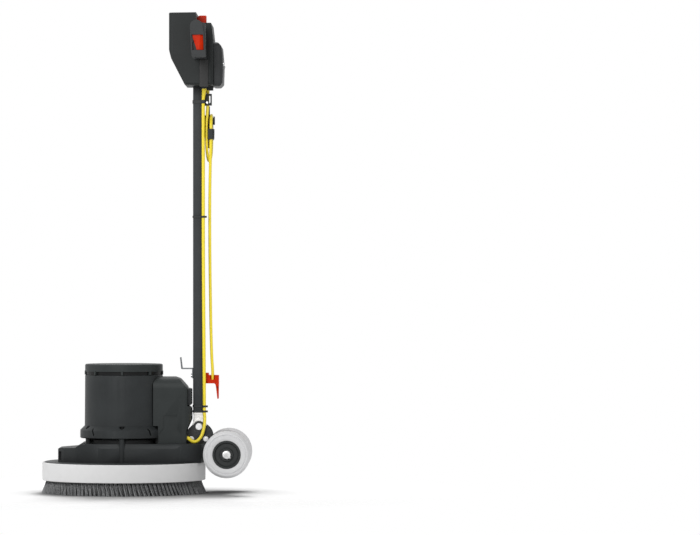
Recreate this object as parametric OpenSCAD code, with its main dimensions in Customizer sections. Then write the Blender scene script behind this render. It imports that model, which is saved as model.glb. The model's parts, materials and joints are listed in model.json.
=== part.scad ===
// Single-disc floor machine: a brush under a motor, on two transport wheels, steered by a tilting mast.
// X points from the brush axis to the wheels, Y across the machine and Z up. The floor is at z = 0 and
// the origin is the middle of the machine's footprint. Inside the modules, X is counted from the brush axis.

/* [Brush] */
// Radius of the brush over its bristle tips
brush_r = 225; // [218:1:228]
// Height of the bristles, from the floor to their backing
bristle_h = 44; // [38:1:50]
// Width of one bristle tuft
tuft_w = 5; // [4:0.1:5.4]
// How far the bristle tips stand out past the bumper ring
brush_out = 6.6; // [4:0.1:9]
// Thickness of the brush backing
block_t = 20; // [16:1:24]
// Radius of the hole in the middle of the backing
block_hole_r = 60; // [55:1:70]
// Thickness of the coupling plate on the backing
coupling_t = 5; // [4:0.5:8]

/* [Gearbox] */
// Module of the gears
gear_module = 2; // [1.8:0.1:2.05]
// Teeth on the sun gear
sun_teeth = 8; // [8:1:8]
// Teeth on each planet gear
planet_teeth = 28; // [28:1:28]
// Width of the gears
gear_w = 18; // [12:1:19]
// Width of the bearing round the output shaft
output_bearing_w = 14; // [12:1:16]
// Radius of the output shaft
output_r = 15; // [12:1:18]
// Outer radius of the output bearing
output_bearing_r = 31; // [28:1:34]

/* [Deck] */
// Height of the cast deck, over the apron
deck_h = 49; // [46:1:52]
// Distance from the brush axis to the tip of the deck's nose
nose_x = 174; // [168:1:180]
// Width of the deck
deck_w = 224; // [214:1:226]
// Half the width of the tail that carries the axle
tail_half_w = 58; // [52:1:64]
// How much lower the deck's nose is than its top
nose_drop = 11; // [8:1:14]
// Height of the bumper ring
ring_h = 48; // [40:1:50]
// Wall of the bumper ring
ring_t = 5; // [4:0.5:5.5]
// Wall of the apron
apron_t = 3; // [2:0.5:3.5]

/* [Motor] */
// Outer radius of the motor's foot
flange_r = 117; // [114:1:118]
// Height of the motor's foot
flange_h = 33.5; // [31:0.5:36]
// Open gap between the deck and the motor's foot
foot_gap = 13.5; // [12:0.5:16]
// Outer radius of the motor housing at its top
motor_r = 104; // [102:1:105]
// Height of the motor housing
motor_h = 135.5; // [128:0.5:146]
// Wall of the motor housing
motor_wall = 5; // [4:0.5:6]
// Height of the air gap under the motor cap
vent_gap = 9; // [7:0.5:12]
// Height of the motor cap
cap_h = 20; // [19:0.5:26]
// Radius of the motor shaft in its bearings
shaft_r = 12.5; // [11:0.5:14]
// Outer radius of the motor bearings
motor_bearing_r = 26; // [24:1:28]
// Width of the motor bearings
motor_bearing_w = 15; // [12:1:16]

/* [Electrics box] */
// Distance from the brush axis to the back of the box
box_back_x = 182; // [179:1:183]
// Half the width of the box
box_half_w = 70; // [64:1:74]
// Height of the box's flat top over the floor
box_top_z = 310; // [300:1:320]
// Wall of the box
box_wall = 3; // [2:0.5:4]

/* [Wheels] */
// Distance from the brush axis to the axle
axle_x = 278.4; // [274:0.1:286]
// Height of the axle over the floor
axle_z = 106; // [103:1:108]
// Radius of the wheels
wheel_r = 62.5; // [56:0.5:66]
// Width of the wheels
wheel_w = 35; // [28:1:36]
// Distance between the middles of the two wheels
track = 233; // [232:1:244]
// Radius of the wheel hubs
wheel_hub_r = 37.5; // [33:0.5:42]
// Radius of the axle in the wheels
axle_r = 10; // [8:0.5:12]

/* [Mast] */
// Distance from the brush axis to the mast's pivot
pivot_x = 202; // [201:0.5:204]
// Height of the mast's pivot over the floor
pivot_z = 177.5; // [176:0.5:181]
// Radius of the pivot bolt
pivot_r = 7; // [6:0.5:8]
// Depth of the mast tube, from front to back
tube_d = 30; // [28:0.5:30]
// Width of the mast tube
tube_w = 60; // [56:1:60]
// Wall of the mast tube
tube_wall = 2.5; // [2:0.5:3]
// Height of the mast tube's lower end over the floor
tube_foot_z = 214.7; // [213:0.1:218]
// Height of the underside of the head over the floor
head_z = 1088; // [1080:1:1096]
// Thickness of the two plates that hold the pivot bolt
plate_t = 6; // [5:0.5:8]
// Radius of the rounded plates
plate_r = 36; // [35:0.5:37]

/* [Head] */
// Height of the head
head_h = 193; // [190:1:202]
// Width of the head
head_w = 200; // [190:1:204]
// Wall of the head's shells
head_wall = 3; // [2.5:0.5:4]
// Radius of the grip bars
grip_r = 17; // [15:0.5:18]
// Height of the middle of the grip bars over the underside of the head
grip_up = 148; // [146:1:150]
// Length of each grip, from the head to its outer end
grip_len = 109; // [104:1:116]
// Travel of the start button
button_travel = 5; // [3:0.5:6]

/* [Leads] */
// Diameter of the power lead between the head and the electrics box
power_lead_d = 8.6; // [8:0.1:9.4]
// Diameter of the mains cord
mains_cord_d = 8; // [7:0.5:8.5]

/* [Hidden] */
$fn = 64;

// Clearances: a sliding fit between two bodies, a seat inside one body, and air between moving parts
run = 0.05;
seat = 0.3;
air = 2;

// Colours
black = "#2e3132";
dark = "#3a3d3e";
silver = "#c9c7c4";
grey = "#d8d8d6";
red = "#c8321e";
yellow = "#f2d31f";
steel = "#9a9c9e";
copper = "#b06a3a";

// The footprint runs from the front of the brush to the back of the wheels
brush_x = -(axle_x + wheel_r - brush_r) / 2;

// The bumper ring, the apron and the brush backing follow the brush, each inside the one before it
brush_air = 5.1;
ring_r = brush_r - brush_out;
block_r = ring_r - ring_t - seat - apron_t - brush_air;

// Levels over the floor
backing_t = 4;
block_top = bristle_h + block_t;
coupling_top = block_top + coupling_t;
boss_z = coupling_top + 1;
apron_top = boss_z + output_bearing_w;
deck_top = apron_top + deck_h;
foot_z = deck_top + foot_gap;
motor_z = foot_z + flange_h;
motor_top = motor_z + motor_h;
cap_z = motor_top + vent_gap;
cap_top = cap_z + cap_h;
ring_top = apron_top - 1.7;

// Helpers for places and outlines
module from_axis() { translate([brush_x, 0, 0]) children(); }

module along_y(y0, y1) { translate([0, y1, 0]) rotate([90, 0, 0]) linear_extrude(y1 - y0) children(); }

module along_x(x0, x1) { translate([x0, 0, 0]) rotate([90, 0, 90]) linear_extrude(x1 - x0) children(); }

module both_sides() { children(); mirror([0, 1, 0]) children(); }

function unit(v) = v / norm(v);

function corner(p, q, s, r, n) = let (
  u = unit(p - q),
  v = unit(s - q),
  half = acos(u * v) / 2,
  c = q + unit(u + v) * r / sin(half),
  a = q + u * r / tan(half),
  b = q + v * r / tan(half),
  a0 = atan2(a.y - c.y, a.x - c.x),
  full = atan2(b.y - c.y, b.x - c.x) - a0,
  turn = full > 180 ? full - 360 : full < -180 ? full + 360 : full
) [for (i = [0 : n]) c + r * [cos(a0 + turn * i / n), sin(a0 + turn * i / n)]];

// An outline with rounded corners, from points that each hold x, y and the corner's radius
function rounded(pts, n = 6) = [for (i = [0 : len(pts) - 1]) let (
  p = pts[(i + len(pts) - 1) % len(pts)],
  q = pts[i],
  s = pts[(i + 1) % len(pts)]
) each q[2] == 0 ? [[q.x, q.y]] : corner([p.x, p.y], [q.x, q.y], [s.x, s.y], q[2], n)];

function rect(x0, y0, x1, y1, r) = [[x0, y0, r], [x1, y0, r], [x1, y1, r], [x0, y1, r]];

// An outline that is the same on both sides of the X axis, from its points on one side
function mirrored(pts) = concat(pts, [for (i = [len(pts) - 1 : -1 : 0]) [pts[i][0], -pts[i][1], pts[i][2]]]);

module rounded_box(x0, y0, x1, y1, r) { polygon(rounded(rect(x0, y0, x1, y1, r))); }

// Brush: each ring of tufts by its radius at the tips, its radius at the roots and its number of tufts
tuft_rings = [[brush_r - 2.7, block_r - 2, 160], [brush_r - 20, block_r - 15, 120],
  [brush_r - 38, block_r - 29, 96], [brush_r - 57, block_r - 43, 80]];
tuft_edge = brush_r - tuft_rings[0][0] - tuft_w / 2;

module tuft(tip_r, root_r) {
  lean = atan((tip_r - root_r) / bristle_h);
  translate([root_r, 0, bristle_h + 1]) rotate([0, 180 - lean, 0])
    translate([-tuft_w / 2, -tuft_w / 2, 0]) linear_extrude(bristle_h / cos(lean) + 5) square(tuft_w);
}

module bristles(quarter) {
  color(dark) from_axis() difference() {
    union() {
      translate([0, 0, bristle_h]) intersection() {
        difference() {
          cylinder(h = backing_t, r = block_r, $fn = 96);
          translate([0, 0, -1]) cylinder(h = backing_t + 2, r = block_hole_r);
        }
        rotate(quarter * 90) cube([brush_r, brush_r, backing_t]);
      }
      for (ring = tuft_rings)
        for (i = [0 : ring[2] / 4 - 1])
          rotate(quarter * 90 + (i + 0.5) * 360 / ring[2]) tuft(ring[0] + tuft_edge - 0.2, ring[1]);
    }
    translate([-brush_r - 20, -brush_r - 20, -20]) cube([2 * brush_r + 40, 2 * brush_r + 40, 20]);
  }
}

module bristles_front_left() { bristles(2); }
module bristles_front_right() { bristles(1); }
module bristles_rear_left() { bristles(3); }
module bristles_rear_right() { bristles(0); }

module brush_block() {
  edge = 3;
  color(dark) from_axis() translate([0, 0, bristle_h + backing_t]) rotate_extrude($fn = 96)
    polygon([[block_hole_r, 0], [block_r, 0], [block_r, block_t - backing_t - edge],
      [block_r - edge, block_t - backing_t], [block_hole_r, block_t - backing_t]]);
}

// The coupling plate on the brush is turned onto three lobes of the output hub, like a bayonet
driver_r = 30;
lobe_r = 46;
lobe_w = 22;
coupling_r = 90;

module lobes(r, w, h) {
  for (i = [0 : 2]) rotate(i * 120) intersection() {
    cylinder(h = h, r = r);
    translate([0, -w / 2, 0]) cube([r + 1, w, h]);
  }
}

module coupling_plate() {
  color(silver) from_axis() translate([0, 0, block_top]) difference() {
    cylinder(h = coupling_t, r = coupling_r);
    translate([0, 0, -1]) cylinder(h = coupling_t + 2, r = driver_r + seat);
    translate([0, 0, -1]) rotate(60) lobes(lobe_r + 1, lobe_w + 2, coupling_t + 2);
    for (i = [0 : 5]) rotate(i * 60 + 30) translate([75, 0, -1]) cylinder(h = coupling_t + 2, r = 3);
  }
}

// Gears
planet_count = 3;
ring_teeth = sun_teeth + 2 * planet_teeth;
planet_path_r = gear_module * (sun_teeth + planet_teeth) / 2;
gear_z = apron_top + 10;
backlash = 0.5;
sun_tip = 1.6;
planet_tip = 1.2;
tooth_root = 2.2;
ring_tip = 1;
ring_outer_r = gear_module * ring_teeth / 2 + 6;

function involute(a) = tan(a) * 180 / PI - a;

// Half the angle of a tooth at radius r, for a gear of z teeth with a pressure angle of 20 degrees
function tooth_half(z, r, slack) = let (
  pitch_r = gear_module * z / 2,
  base_r = pitch_r * cos(20),
  at = max(r, base_r)
) 90 / z - slack / 2 / pitch_r * 180 / PI + involute(20) - involute(acos(base_r / at));

function gear_points(z, tip, root, slack, steps = 3) = let (
  pitch_r = gear_module * z / 2,
  base_r = pitch_r * cos(20),
  low = max(base_r, pitch_r - root),
  radii = concat([pitch_r - root], [for (i = [0 : steps]) low + (pitch_r + tip - low) * i / steps])
) [for (t = [0 : z - 1]) each concat(
    [for (r = radii) let (a = t * 360 / z - tooth_half(z, r, slack)) r * [cos(a), sin(a)]],
    [for (i = [len(radii) - 1 : -1 : 0]) let (r = radii[i], a = t * 360 / z + tooth_half(z, r, slack))
      r * [cos(a), sin(a)]])];

// A planet at angle a stands with a tooth in the ring's space there
function planet_turn(a) = a - (a / 360 * ring_teeth - round(a / 360 * ring_teeth)) * 360 / planet_teeth;

planet_bore_r = 6;

module ring_gear() {
  color(steel) from_axis() translate([0, 0, gear_z]) difference() {
    cylinder(h = gear_w, r = ring_outer_r);
    translate([0, 0, -1]) linear_extrude(gear_w + 2)
      polygon(gear_points(ring_teeth, tooth_root, ring_tip, -backlash, 2));
  }
}

module sun_gear() {
  color(steel) from_axis() translate([0, 0, gear_z]) rotate(180 / sun_teeth * (planet_teeth + 1) % 360)
    difference() {
      linear_extrude(gear_w + 1) polygon(gear_points(sun_teeth, sun_tip, tooth_root, backlash));
      translate([0, 0, -1]) cylinder(h = gear_w + 4, r = sun_bore_r);
    }
}

module planet_gear(i) {
  a = i * 360 / planet_count;
  color(steel) from_axis() rotate(a) translate([planet_path_r, 0, gear_z]) rotate(planet_turn(a) - a)
    difference() {
      linear_extrude(gear_w) polygon(gear_points(planet_teeth, planet_tip, tooth_root, backlash));
      translate([0, 0, -1]) cylinder(h = gear_w + 2, r = planet_bore_r + run);
      for (k = [0 : 5]) rotate(k * 60) translate([planet_teeth * gear_module / 4 + 2, 0, -1])
        cylinder(h = gear_w + 2, r = 4);
    }
}

module planet_gear_1() { planet_gear(0); }
module planet_gear_2() { planet_gear(1); }
module planet_gear_3() { planet_gear(2); }

module planet_carrier() {
  arm_z = apron_top + air;
  arm_rim = 14;
  color(steel) from_axis() {
    difference() {
      union() {
        translate([0, 0, block_top - 7]) cylinder(h = arm_z - block_top + 8, r = output_r - run);
        translate([0, 0, block_top - 7]) cylinder(h = coupling_t + 7, r = driver_r);
        translate([0, 0, block_top - 7]) lobes(lobe_r, lobe_w, 7 - seat);
        translate([0, 0, arm_z]) cylinder(h = gear_z - arm_z - 1, r = planet_path_r + arm_rim);
        for (i = [0 : planet_count - 1]) rotate(i * 360 / planet_count) translate([planet_path_r, 0, arm_z])
          cylinder(h = gear_z + gear_w - arm_z + 1, r = planet_bore_r);
      }
      translate([0, 0, block_top - 8]) cylinder(h = 30, r = 6);
    }
  }
}

// Deck
block_half_w = 30.7;
block_x0 = pivot_x - 32;
block_x1 = pivot_x + 34;
block_z1 = pivot_z - 21.5;
tail_z = apron_top + 6;
tail_h = 32;
hollow_h = 30;
boss_h = foot_gap - 2.5;
rim_r = 100;

module deck_outline() {
  half = deck_w / 2;
  polygon(rounded(mirrored([
    [-nose_x, 42, 6], [-nose_x + 16, 62, 10], [-120, half - 14, 40], [-58, half, 60], [150, half, 50],
    [axle_x - wheel_r - 6, half - 26, 10], [axle_x - wheel_r + 4, tail_half_w, 0]])));
}

module deck_hollow() {
  half = deck_w / 2 - 10;
  polygon(rounded(mirrored([
    [-nose_x + 16, 34, 6], [-nose_x + 26, 52, 8], [-116, half - 14, 30], [-58, half, 50], [140, half, 10]])));
}

// The deck seen from its side, with the step up from the nose, and seen from its end, with bevelled edges
module deck_side() {
  nose_top = deck_top - nose_drop;
  polygon(rounded([
    [-nose_x - 1, apron_top, 0], [axle_x, apron_top, 0], [axle_x, deck_top, 0],
    [-112, deck_top, 6], [-125, nose_top + 1, 6], [-nose_x + 4, nose_top - 1, 4],
    [-nose_x - 1, nose_top - 4, 0]]));
}

module deck_end() {
  bevel = 4;
  bevel_h = 12;
  half = deck_w / 2;
  polygon([[-half, apron_top], [half, apron_top], [half, deck_top - bevel_h], [half - bevel, deck_top],
    [bevel - half, deck_top], [-half, deck_top - bevel_h]]);
}

module deck() {
  tail_x1 = axle_x + 16;
  color(black) from_axis() difference() {
    union() {
      intersection() {
        linear_extrude(deck_top + 1) deck_outline();
        along_y(-deck_w, deck_w) deck_side();
        along_x(-nose_x - 1, axle_x) deck_end();
      }
      // Boss and rim under the motor's foot
      translate([0, 0, deck_top - 1]) {
        cylinder(h = boss_h, r = 58);
        difference() {
          cylinder(h = boss_h, r = rim_r);
          translate([0, 0, -1]) cylinder(h = boss_h + 2, r = rim_r - 6);
          at_legs() translate([0, 0, -1]) cylinder(h = boss_h + 2, r = leg_r + air);
        }
      }
      // Columns under the legs of the motor's foot
      at_legs() translate([0, 0, apron_top]) cylinder(h = deck_h, r = column_r);
      // Tail with the axle through it
      translate([0, 0, tail_z]) linear_extrude(tail_h)
        rounded_box(150, -tail_half_w, tail_x1, tail_half_w, 8);
      // Block between the two side plates
      translate([0, 0, deck_top - 10]) linear_extrude(block_z1 - deck_top + 10)
        rounded_box(block_x0, -block_half_w, block_x1, block_half_w, 3);
    }
    // Gear space, shaft hole and the axle's bore
    translate([0, 0, apron_top - 1]) cylinder(h = gear_z + gear_w + 3 - apron_top, r = ring_outer_r + seat);
    translate([0, 0, apron_top]) cylinder(h = 100, r = shaft_hole_r);
    along_y(-tail_half_w - 1, tail_half_w + 1) translate([axle_x, axle_z]) circle(r = axle_core_r + run);
    // Slots at the sides of the nose
    both_sides() translate([-nose_x + 2.5, 40, apron_top + 4]) cube([7, 40, 24]);
    // Hollow under the casting, round the gear space and the columns
    difference() {
      translate([0, 0, apron_top - 1]) linear_extrude(hollow_h + 1) deck_hollow();
      translate([0, 0, apron_top - 2]) cylinder(h = hollow_h + 4, r = ring_outer_r + 8);
      at_legs() translate([0, 0, apron_top - 2]) cylinder(h = hollow_h + 4, r = column_r);
      for (a = [0, 60, 120]) rotate(a) translate([-220, -3, apron_top - 2]) cube([440, 6, hollow_h + 4]);
    }
    // Holes for the plates' lower bolts
    for (x = plate_bolt_x)
      along_y(-block_half_w - 1, block_half_w + 1)
        translate([x, plate_bolt_z]) circle(r = plate_bolt_r + run);
    // Holes for the bolts of the motor's foot
    at_legs() translate([0, 0, deck_top - 14]) cylinder(h = 20, r = foot_bolt_r + seat / 2);
  }
}

module apron() {
  skirt_r = ring_r - ring_t - seat;
  color(black) from_axis() difference() {
    rotate_extrude($fn = 128) polygon([[40, apron_top - apron_t], [skirt_r - apron_t, apron_top - apron_t],
      [skirt_r - apron_t, bristle_h + 6], [skirt_r, bristle_h + 6], [skirt_r, apron_top - 3],
      [skirt_r - 3, apron_top], [output_bearing_r, apron_top], [output_bearing_r, boss_z], [40, boss_z]]);
    // Holes for the bolts up into the deck
    for (i = [0 : 5]) rotate(i * 60 + 15) translate([ring_outer_r + 12, 0, apron_top - 10])
      cylinder(h = 12, r = 3.2);
  }
}

module bumper_ring() {
  lip = 2;
  color(grey) from_axis() translate([0, 0, ring_top - ring_h]) rotate_extrude($fn = 128)
    polygon(rounded([[ring_r - ring_t, 0, 1], [ring_r, 0, lip], [ring_r, ring_h, lip],
      [ring_r - ring_t, ring_h, 1]], 4));
}

// Motor
leg_count = 6;
leg_turn = 30;
leg_path_r = 106;
leg_r = 8;
column_r = leg_r + 1;
foot_bolt_r = 3;
sun_bore_r = 4;
shaft_hole_r = 12.2;
motor_taper = 1;
housing_r = motor_r - motor_wall;
air_gap = 0.8;
core_r = 56;
core_z = motor_z + 28;
core_h = 75;
chamfer = flange_r - motor_r - motor_taper;
bolt_head_z = foot_z + flange_h - chamfer - 4;

// The places of the motor's legs
module at_legs() {
  for (i = [0 : leg_count - 1])
    rotate(i * 360 / leg_count + leg_turn) translate([leg_path_r, 0, 0]) children();
}

module motor_foot() {
  color(black) from_axis() difference() {
    union() {
      translate([0, 0, foot_z]) rotate_extrude($fn = 128) polygon([
        [motor_bearing_r, 4], [motor_bearing_r, 19], [housing_r - 3, 19], [housing_r - 3, flange_h],
        [motor_r + motor_taper, flange_h], [flange_r, flange_h - chamfer], [flange_r, 2], [flange_r - 2, 0],
        [shaft_r + 3, 0], [shaft_r + 3, 4]]);
      at_legs() translate([0, 0, deck_top]) cylinder(h = foot_gap + 3, r = leg_r);
    }
    // Slanted gaps that part the four mounting ears from the foot's rim
    for (a = [49.5, 130.5, 229.5, 310.5])
      rotate(a) translate([flange_r - 7, -2, foot_z + 8]) rotate([20, 0, 0]) cube([20, 4, flange_h]);
    at_legs() {
      translate([0, 0, deck_top - 1]) cylinder(h = 60, r = foot_bolt_r + seat / 2);
      translate([0, 0, bolt_head_z]) cylinder(h = 60, r = 7);
    }
  }
}

module foot_bolts() {
  grip_h = 12;
  color(silver) from_axis() at_legs() {
    translate([0, 0, deck_top - grip_h]) cylinder(h = bolt_head_z - deck_top + grip_h, r = foot_bolt_r);
    translate([0, 0, bolt_head_z]) cylinder(h = 5, r = 5);
  }
}

module motor_housing() {
  color(black) from_axis() translate([0, 0, motor_z]) difference() {
    union() {
      rotate_extrude($fn = 128) polygon(rounded([
        [housing_r, 0, 0], [motor_r + motor_taper, 0, 0], [motor_r, motor_h, 3],
        [motor_bearing_r, motor_h, 0], [motor_bearing_r, motor_h - motor_bearing_w - 3, 0],
        [motor_bearing_r + 8, motor_h - motor_bearing_w - 3, 0],
        [motor_bearing_r + 8, motor_h - 6, 0], [housing_r, motor_h - 6, 4]], 4));
      // Collar inside the air gap, open where the ribs of the cap stand
      difference() {
        translate([0, 0, motor_h - 1]) cylinder(h = collar_h + 1, r = collar_r);
        translate([0, 0, motor_h - 2]) cylinder(h = collar_h + 3, r = collar_r - 3);
        for (i = [0 : 7])
          rotate(i * 45) translate([collar_r - 12, -3.5, motor_h]) cube([20, 7, collar_h + 1]);
      }
    }
    // Air holes in the top
    for (i = [0 : 7]) rotate(i * 45 + 22.5) translate([62, 0, motor_h - 7])
      linear_extrude(8) rounded_box(-14, -8, 14, 8, 5);
  }
}

module bearing(inner, outer, w) {
  race = (outer - inner) * 0.3;
  rotate_extrude() polygon([[inner, 0], [inner + race, 0], [inner + race, w * 0.12], [outer - race, w * 0.12],
    [outer - race, 0], [outer, 0], [outer, w], [outer - race, w], [outer - race, w * 0.88],
    [inner + race, w * 0.88], [inner + race, w], [inner, w]]);
}

module bearings() {
  color(silver) from_axis() {
    translate([0, 0, boss_z]) bearing(output_r, output_bearing_r - seat / 6, output_bearing_w);
    translate([0, 0, foot_z + 4]) bearing(shaft_r, motor_bearing_r - seat / 6, motor_bearing_w);
    translate([0, 0, motor_top - motor_bearing_w - 3])
      bearing(shaft_r, motor_bearing_r - seat / 6, motor_bearing_w);
  }
}

module stator() {
  color(copper) from_axis() {
    translate([0, 0, core_z]) difference() {
      cylinder(h = core_h, r = housing_r - seat);
      translate([0, 0, -1]) cylinder(h = core_h + 2, r = core_r);
    }
    for (z = [core_z - 14, core_z + core_h]) translate([0, 0, z]) difference() {
      cylinder(h = 14, r = housing_r - 8);
      translate([0, 0, -1]) cylinder(h = 16, r = core_r + 6);
    }
  }
}

module rotor_shaft() {
  color(steel) from_axis() {
    translate([0, 0, gear_z]) cylinder(h = foot_z - gear_z + 1, r = sun_bore_r - run);
    translate([0, 0, gear_z + gear_w + 1.5]) cylinder(h = foot_z - gear_z - gear_w - 1, r = 9);
    translate([0, 0, foot_z + 0.5]) cylinder(h = motor_top + 4 - foot_z, r = shaft_r - run);
    translate([0, 0, motor_top + 4]) cylinder(h = fan_z + fan_h - motor_top - 4, r = 10);
    translate([0, 0, core_z]) cylinder(h = core_h, r = core_r - air_gap);
    translate([0, 0, core_z - 6]) cylinder(h = core_h + 12, r = core_r - 14);
  }
}

fan_z = motor_top + 5;
fan_h = 16;
fan_r = 80;
collar_h = 12;
cap_wall = 3;
collar_r = motor_r - cap_wall - 1.5;

module cooling_fan() {
  color(dark) from_axis() translate([0, 0, fan_z]) difference() {
    union() {
      cylinder(h = fan_h, r = 18);
      cylinder(h = 2.5, r = fan_r);
      for (i = [0 : 8]) rotate(i * 40) translate([16, -1.5, 0]) cube([fan_r - 17, 3, fan_h]);
    }
    translate([0, 0, -1]) cylinder(h = fan_h + 2, r = 10 + seat / 6);
  }
}

module motor_cap() {
  edge = 4;
  color(black) from_axis() difference() {
    union() {
      translate([0, 0, cap_z]) rotate_extrude($fn = 128) polygon(rounded([
        [0, cap_h - cap_wall, 0], [motor_r - cap_wall, cap_h - cap_wall, 3], [motor_r - cap_wall, 0, 0],
        [motor_r, 0, 0], [motor_r, cap_h, edge], [0, cap_h, 0]], 5));
      // Ribs and screw posts that hold the cap over the air gap
      for (i = [0 : 7]) rotate(i * 45) translate([motor_r - 16, -3, motor_top]) cube([17.2, 6, vent_gap + 2]);
      for (i = [0 : 3]) rotate(i * 90 + 45) translate([motor_r - 13, 0, motor_top])
        cylinder(h = cap_top - cap_wall - motor_top + 1, r = 5);
    }
    for (i = [0 : 3]) rotate(i * 90 + 45) translate([motor_r - 13, 0, 0]) {
      translate([0, 0, motor_top - 1]) cylinder(h = 60, r = 2.2);
      translate([0, 0, cap_top - 2.2]) cylinder(h = 5, r = 4.8);
    }
  }
}

module cap_screws() {
  color(steel) from_axis() for (i = [0 : 3]) rotate(i * 90 + 45) translate([motor_r - 13, 0, cap_top - 2.2])
    difference() {
      union() {
        cylinder(h = 2, r = 4.5);
        translate([0, 0, -20]) cylinder(h = 20.5, r = 2);
      }
      translate([0, 0, 0.8]) cylinder(h = 2, r = 2, $fn = 6);
    }
}

// Electrics box
box_x0 = 81;
box_z0 = deck_top;
vent_z0 = 226;
vent_z1 = 280;
vent_t = 5;

low_back_x = 169.5;
low_back_z = 168;
vent_x = box_back_x - 11;
pivot_room_x = 165;
pivot_room_y = 46;
pivot_room_z = 206;

function box_side(in) = [
  [in > 0 ? 20 : box_x0, box_z0 + in, 0], [low_back_x - in, box_z0 + in, 0],
  [low_back_x - in, low_back_z + in, 6], [box_back_x - in, low_back_z + 28 + in, 6],
  [box_back_x - in, vent_z0 - in, 3], [vent_x - in, vent_z0 + 8 - in, 0],
  [vent_x - in, box_top_z - 28 - in, 8], [vent_x - 20 - in, box_top_z - 5 - in, 16],
  [vent_x - 34 - in, box_top_z - in, 12], [in > 0 ? 20 : box_x0 + 6, box_top_z - in, 0],
  [in > 0 ? 20 : box_x0, box_top_z - 6 - in, 0]];

module box_body(in) {
  intersection() {
    along_y(-box_half_w + in, box_half_w - in) polygon(rounded(box_side(in), 4));
    translate([0, 0, box_z0 - 1]) linear_extrude(box_top_z)
      polygon(rounded([[0, -box_half_w + in, 0], [box_back_x - in, -box_half_w + in, 20 - in],
        [box_back_x - in, box_half_w - in, 20 - in], [0, box_half_w - in, 0]]));
    along_x(0, box_back_x + 1) polygon(rounded([[-box_half_w + in, 0, 0], [box_half_w - in, 0, 0],
      [box_half_w - in, box_top_z - in, 28 - in], [-box_half_w + in, box_top_z - in, 28 - in]], 9));
  }
}

// Room between the box's two wings for the side plates and the foot of the mast
module pivot_room(grow) {
  translate([pivot_room_x - grow, -pivot_room_y - grow, 0])
    cube([60, 2 * (pivot_room_y + grow), pivot_room_z + grow]);
}

// Outline of the hollow low in each side, like a bottle with a wide foot
module side_hollow() {
  polygon(rounded([[95, box_z0 + 4, 0], [157, box_z0 + 4, 0], [157, 158, 8], [146, 172, 8], [146, 208, 6],
    [108, 208, 6], [108, 172, 8], [95, 158, 8]]));
}

module electrics_box() {
  color(black) from_axis() difference() {
    box_body(0);
    pivot_room(0);
    difference() {
      box_body(box_wall);
      pivot_room(box_wall);
    }
    // Room for the round motor and its foot
    translate([0, 0, motor_z]) cylinder(h = 300, r = motor_r + motor_taper + seat, $fn = 128);
    translate([0, 0, box_z0 - 1]) cylinder(h = motor_z - box_z0 + 1.3, r = flange_r + seat, $fn = 128);
    both_sides() along_y(box_half_w - 1.6, box_half_w + 1) side_hollow();
    // Hole of the lead's gland
    along_x(low_back_x - 10, low_back_x + 10) translate([lead_y, lead_in_z]) circle(r = gland_r + seat / 6);
    // Window behind the vent
    translate([vent_x - 9, -30, vent_z0 + 12]) cube([20, 60, vent_z1 - vent_z0 - 22]);
  }
}

module box_vent() {
  color(dark) from_axis() difference() {
    translate([vent_x + 0.02, 0, 0]) along_y(-44, 44) polygon(rounded([[0, vent_z0 + 8, 0], [0, vent_z1, 0],
      [11, vent_z1 - 2, 3], [11, vent_z0 + 10, 2]], 3));
    for (i = [0 : 5]) translate([vent_x - 1, -38, vent_z0 + 13 + i * 6.4]) cube([20, 76, 2.8]);
    translate([vent_x - 1, -36, vent_z0 + 12]) cube([5, 72, vent_z1 - vent_z0 - 16]);
  }
}

can_r = 20;
can_h = 84;
can_y = 34;
can_neck = 6;

module capacitors() {
  can_x = pivot_room_x - box_wall - can_r - air;
  color(silver) from_axis() both_sides() translate([can_x, can_y, box_z0 + box_wall]) {
    cylinder(h = can_h, r = can_r);
    translate([0, 0, can_h]) cylinder(h = can_neck, r = can_r * 0.8);
    for (k = [-1, 1])
      translate([k * can_r * 0.35, 0, can_h + can_neck]) cylinder(h = can_neck, r = can_r / 10);
  }
}

// Route of the power lead, in machine coordinates counted from the brush axis
lead_y = -60;
lead_in_z = 148;
gland_r = 8;
gland_x1 = low_back_x + 1.5;
tube_x = pivot_x - 1;
lead_side_y = -tube_w / 2 - power_lead_d / 2 - 0.2;
lead_tie_z = 218;
lead_top_z = head_z - 6;

hook_z = 292.4;
hook_top = 314.4;
hook_x0 = tube_x + tube_d / 2;
hook_floor_z = hook_z + 4;
clip_z0 = 1036;
clip_z1 = 1067;
clip_y = 28;

loop_route = [
  [low_back_x + 1, lead_y, lead_in_z], [172.5, lead_y, lead_in_z - 0.3], [176, -60, 146.2], [180, -60, 142.8],
  [185, -59.5, 139.2], [190.5, -59, 137.8], [196.5, -58, 139.2], [202.5, -56, 143.8], [208.2, -54, 151.2],
  [212.4, -52, 161], [215.4, -49.6, 173], [217.3, -45.6, 186], [217.8, -40.6, 198], [217.2, -36.2, 208],
  [216.6, lead_side_y, 213.5], [216.6, lead_side_y, lead_tie_z]];

lead_route = [
  [216.6, lead_side_y, lead_tie_z + 0.2], [216.6, lead_side_y, 240], [216.3, lead_side_y, 300],
  [215.9, lead_side_y, 360], [215.1, lead_side_y, 460], [214.4, lead_side_y, 560], [213.9, lead_side_y, 660],
  [213.8, lead_side_y, 730], [213.8, lead_side_y, 746], [213.8, lead_side_y, 860],
  [213.7, lead_side_y, 940], [213.6, lead_side_y, 1000], [213.6, lead_side_y, 1036],
  [213.7, lead_side_y, 1052], [214.5, lead_side_y - 1.6, 1062], [216, lead_side_y - 3.9, 1074],
  [216.4, lead_side_y - 4.5, head_z - 6], [216.4, lead_side_y - 4.5, head_z + 3]];

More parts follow.
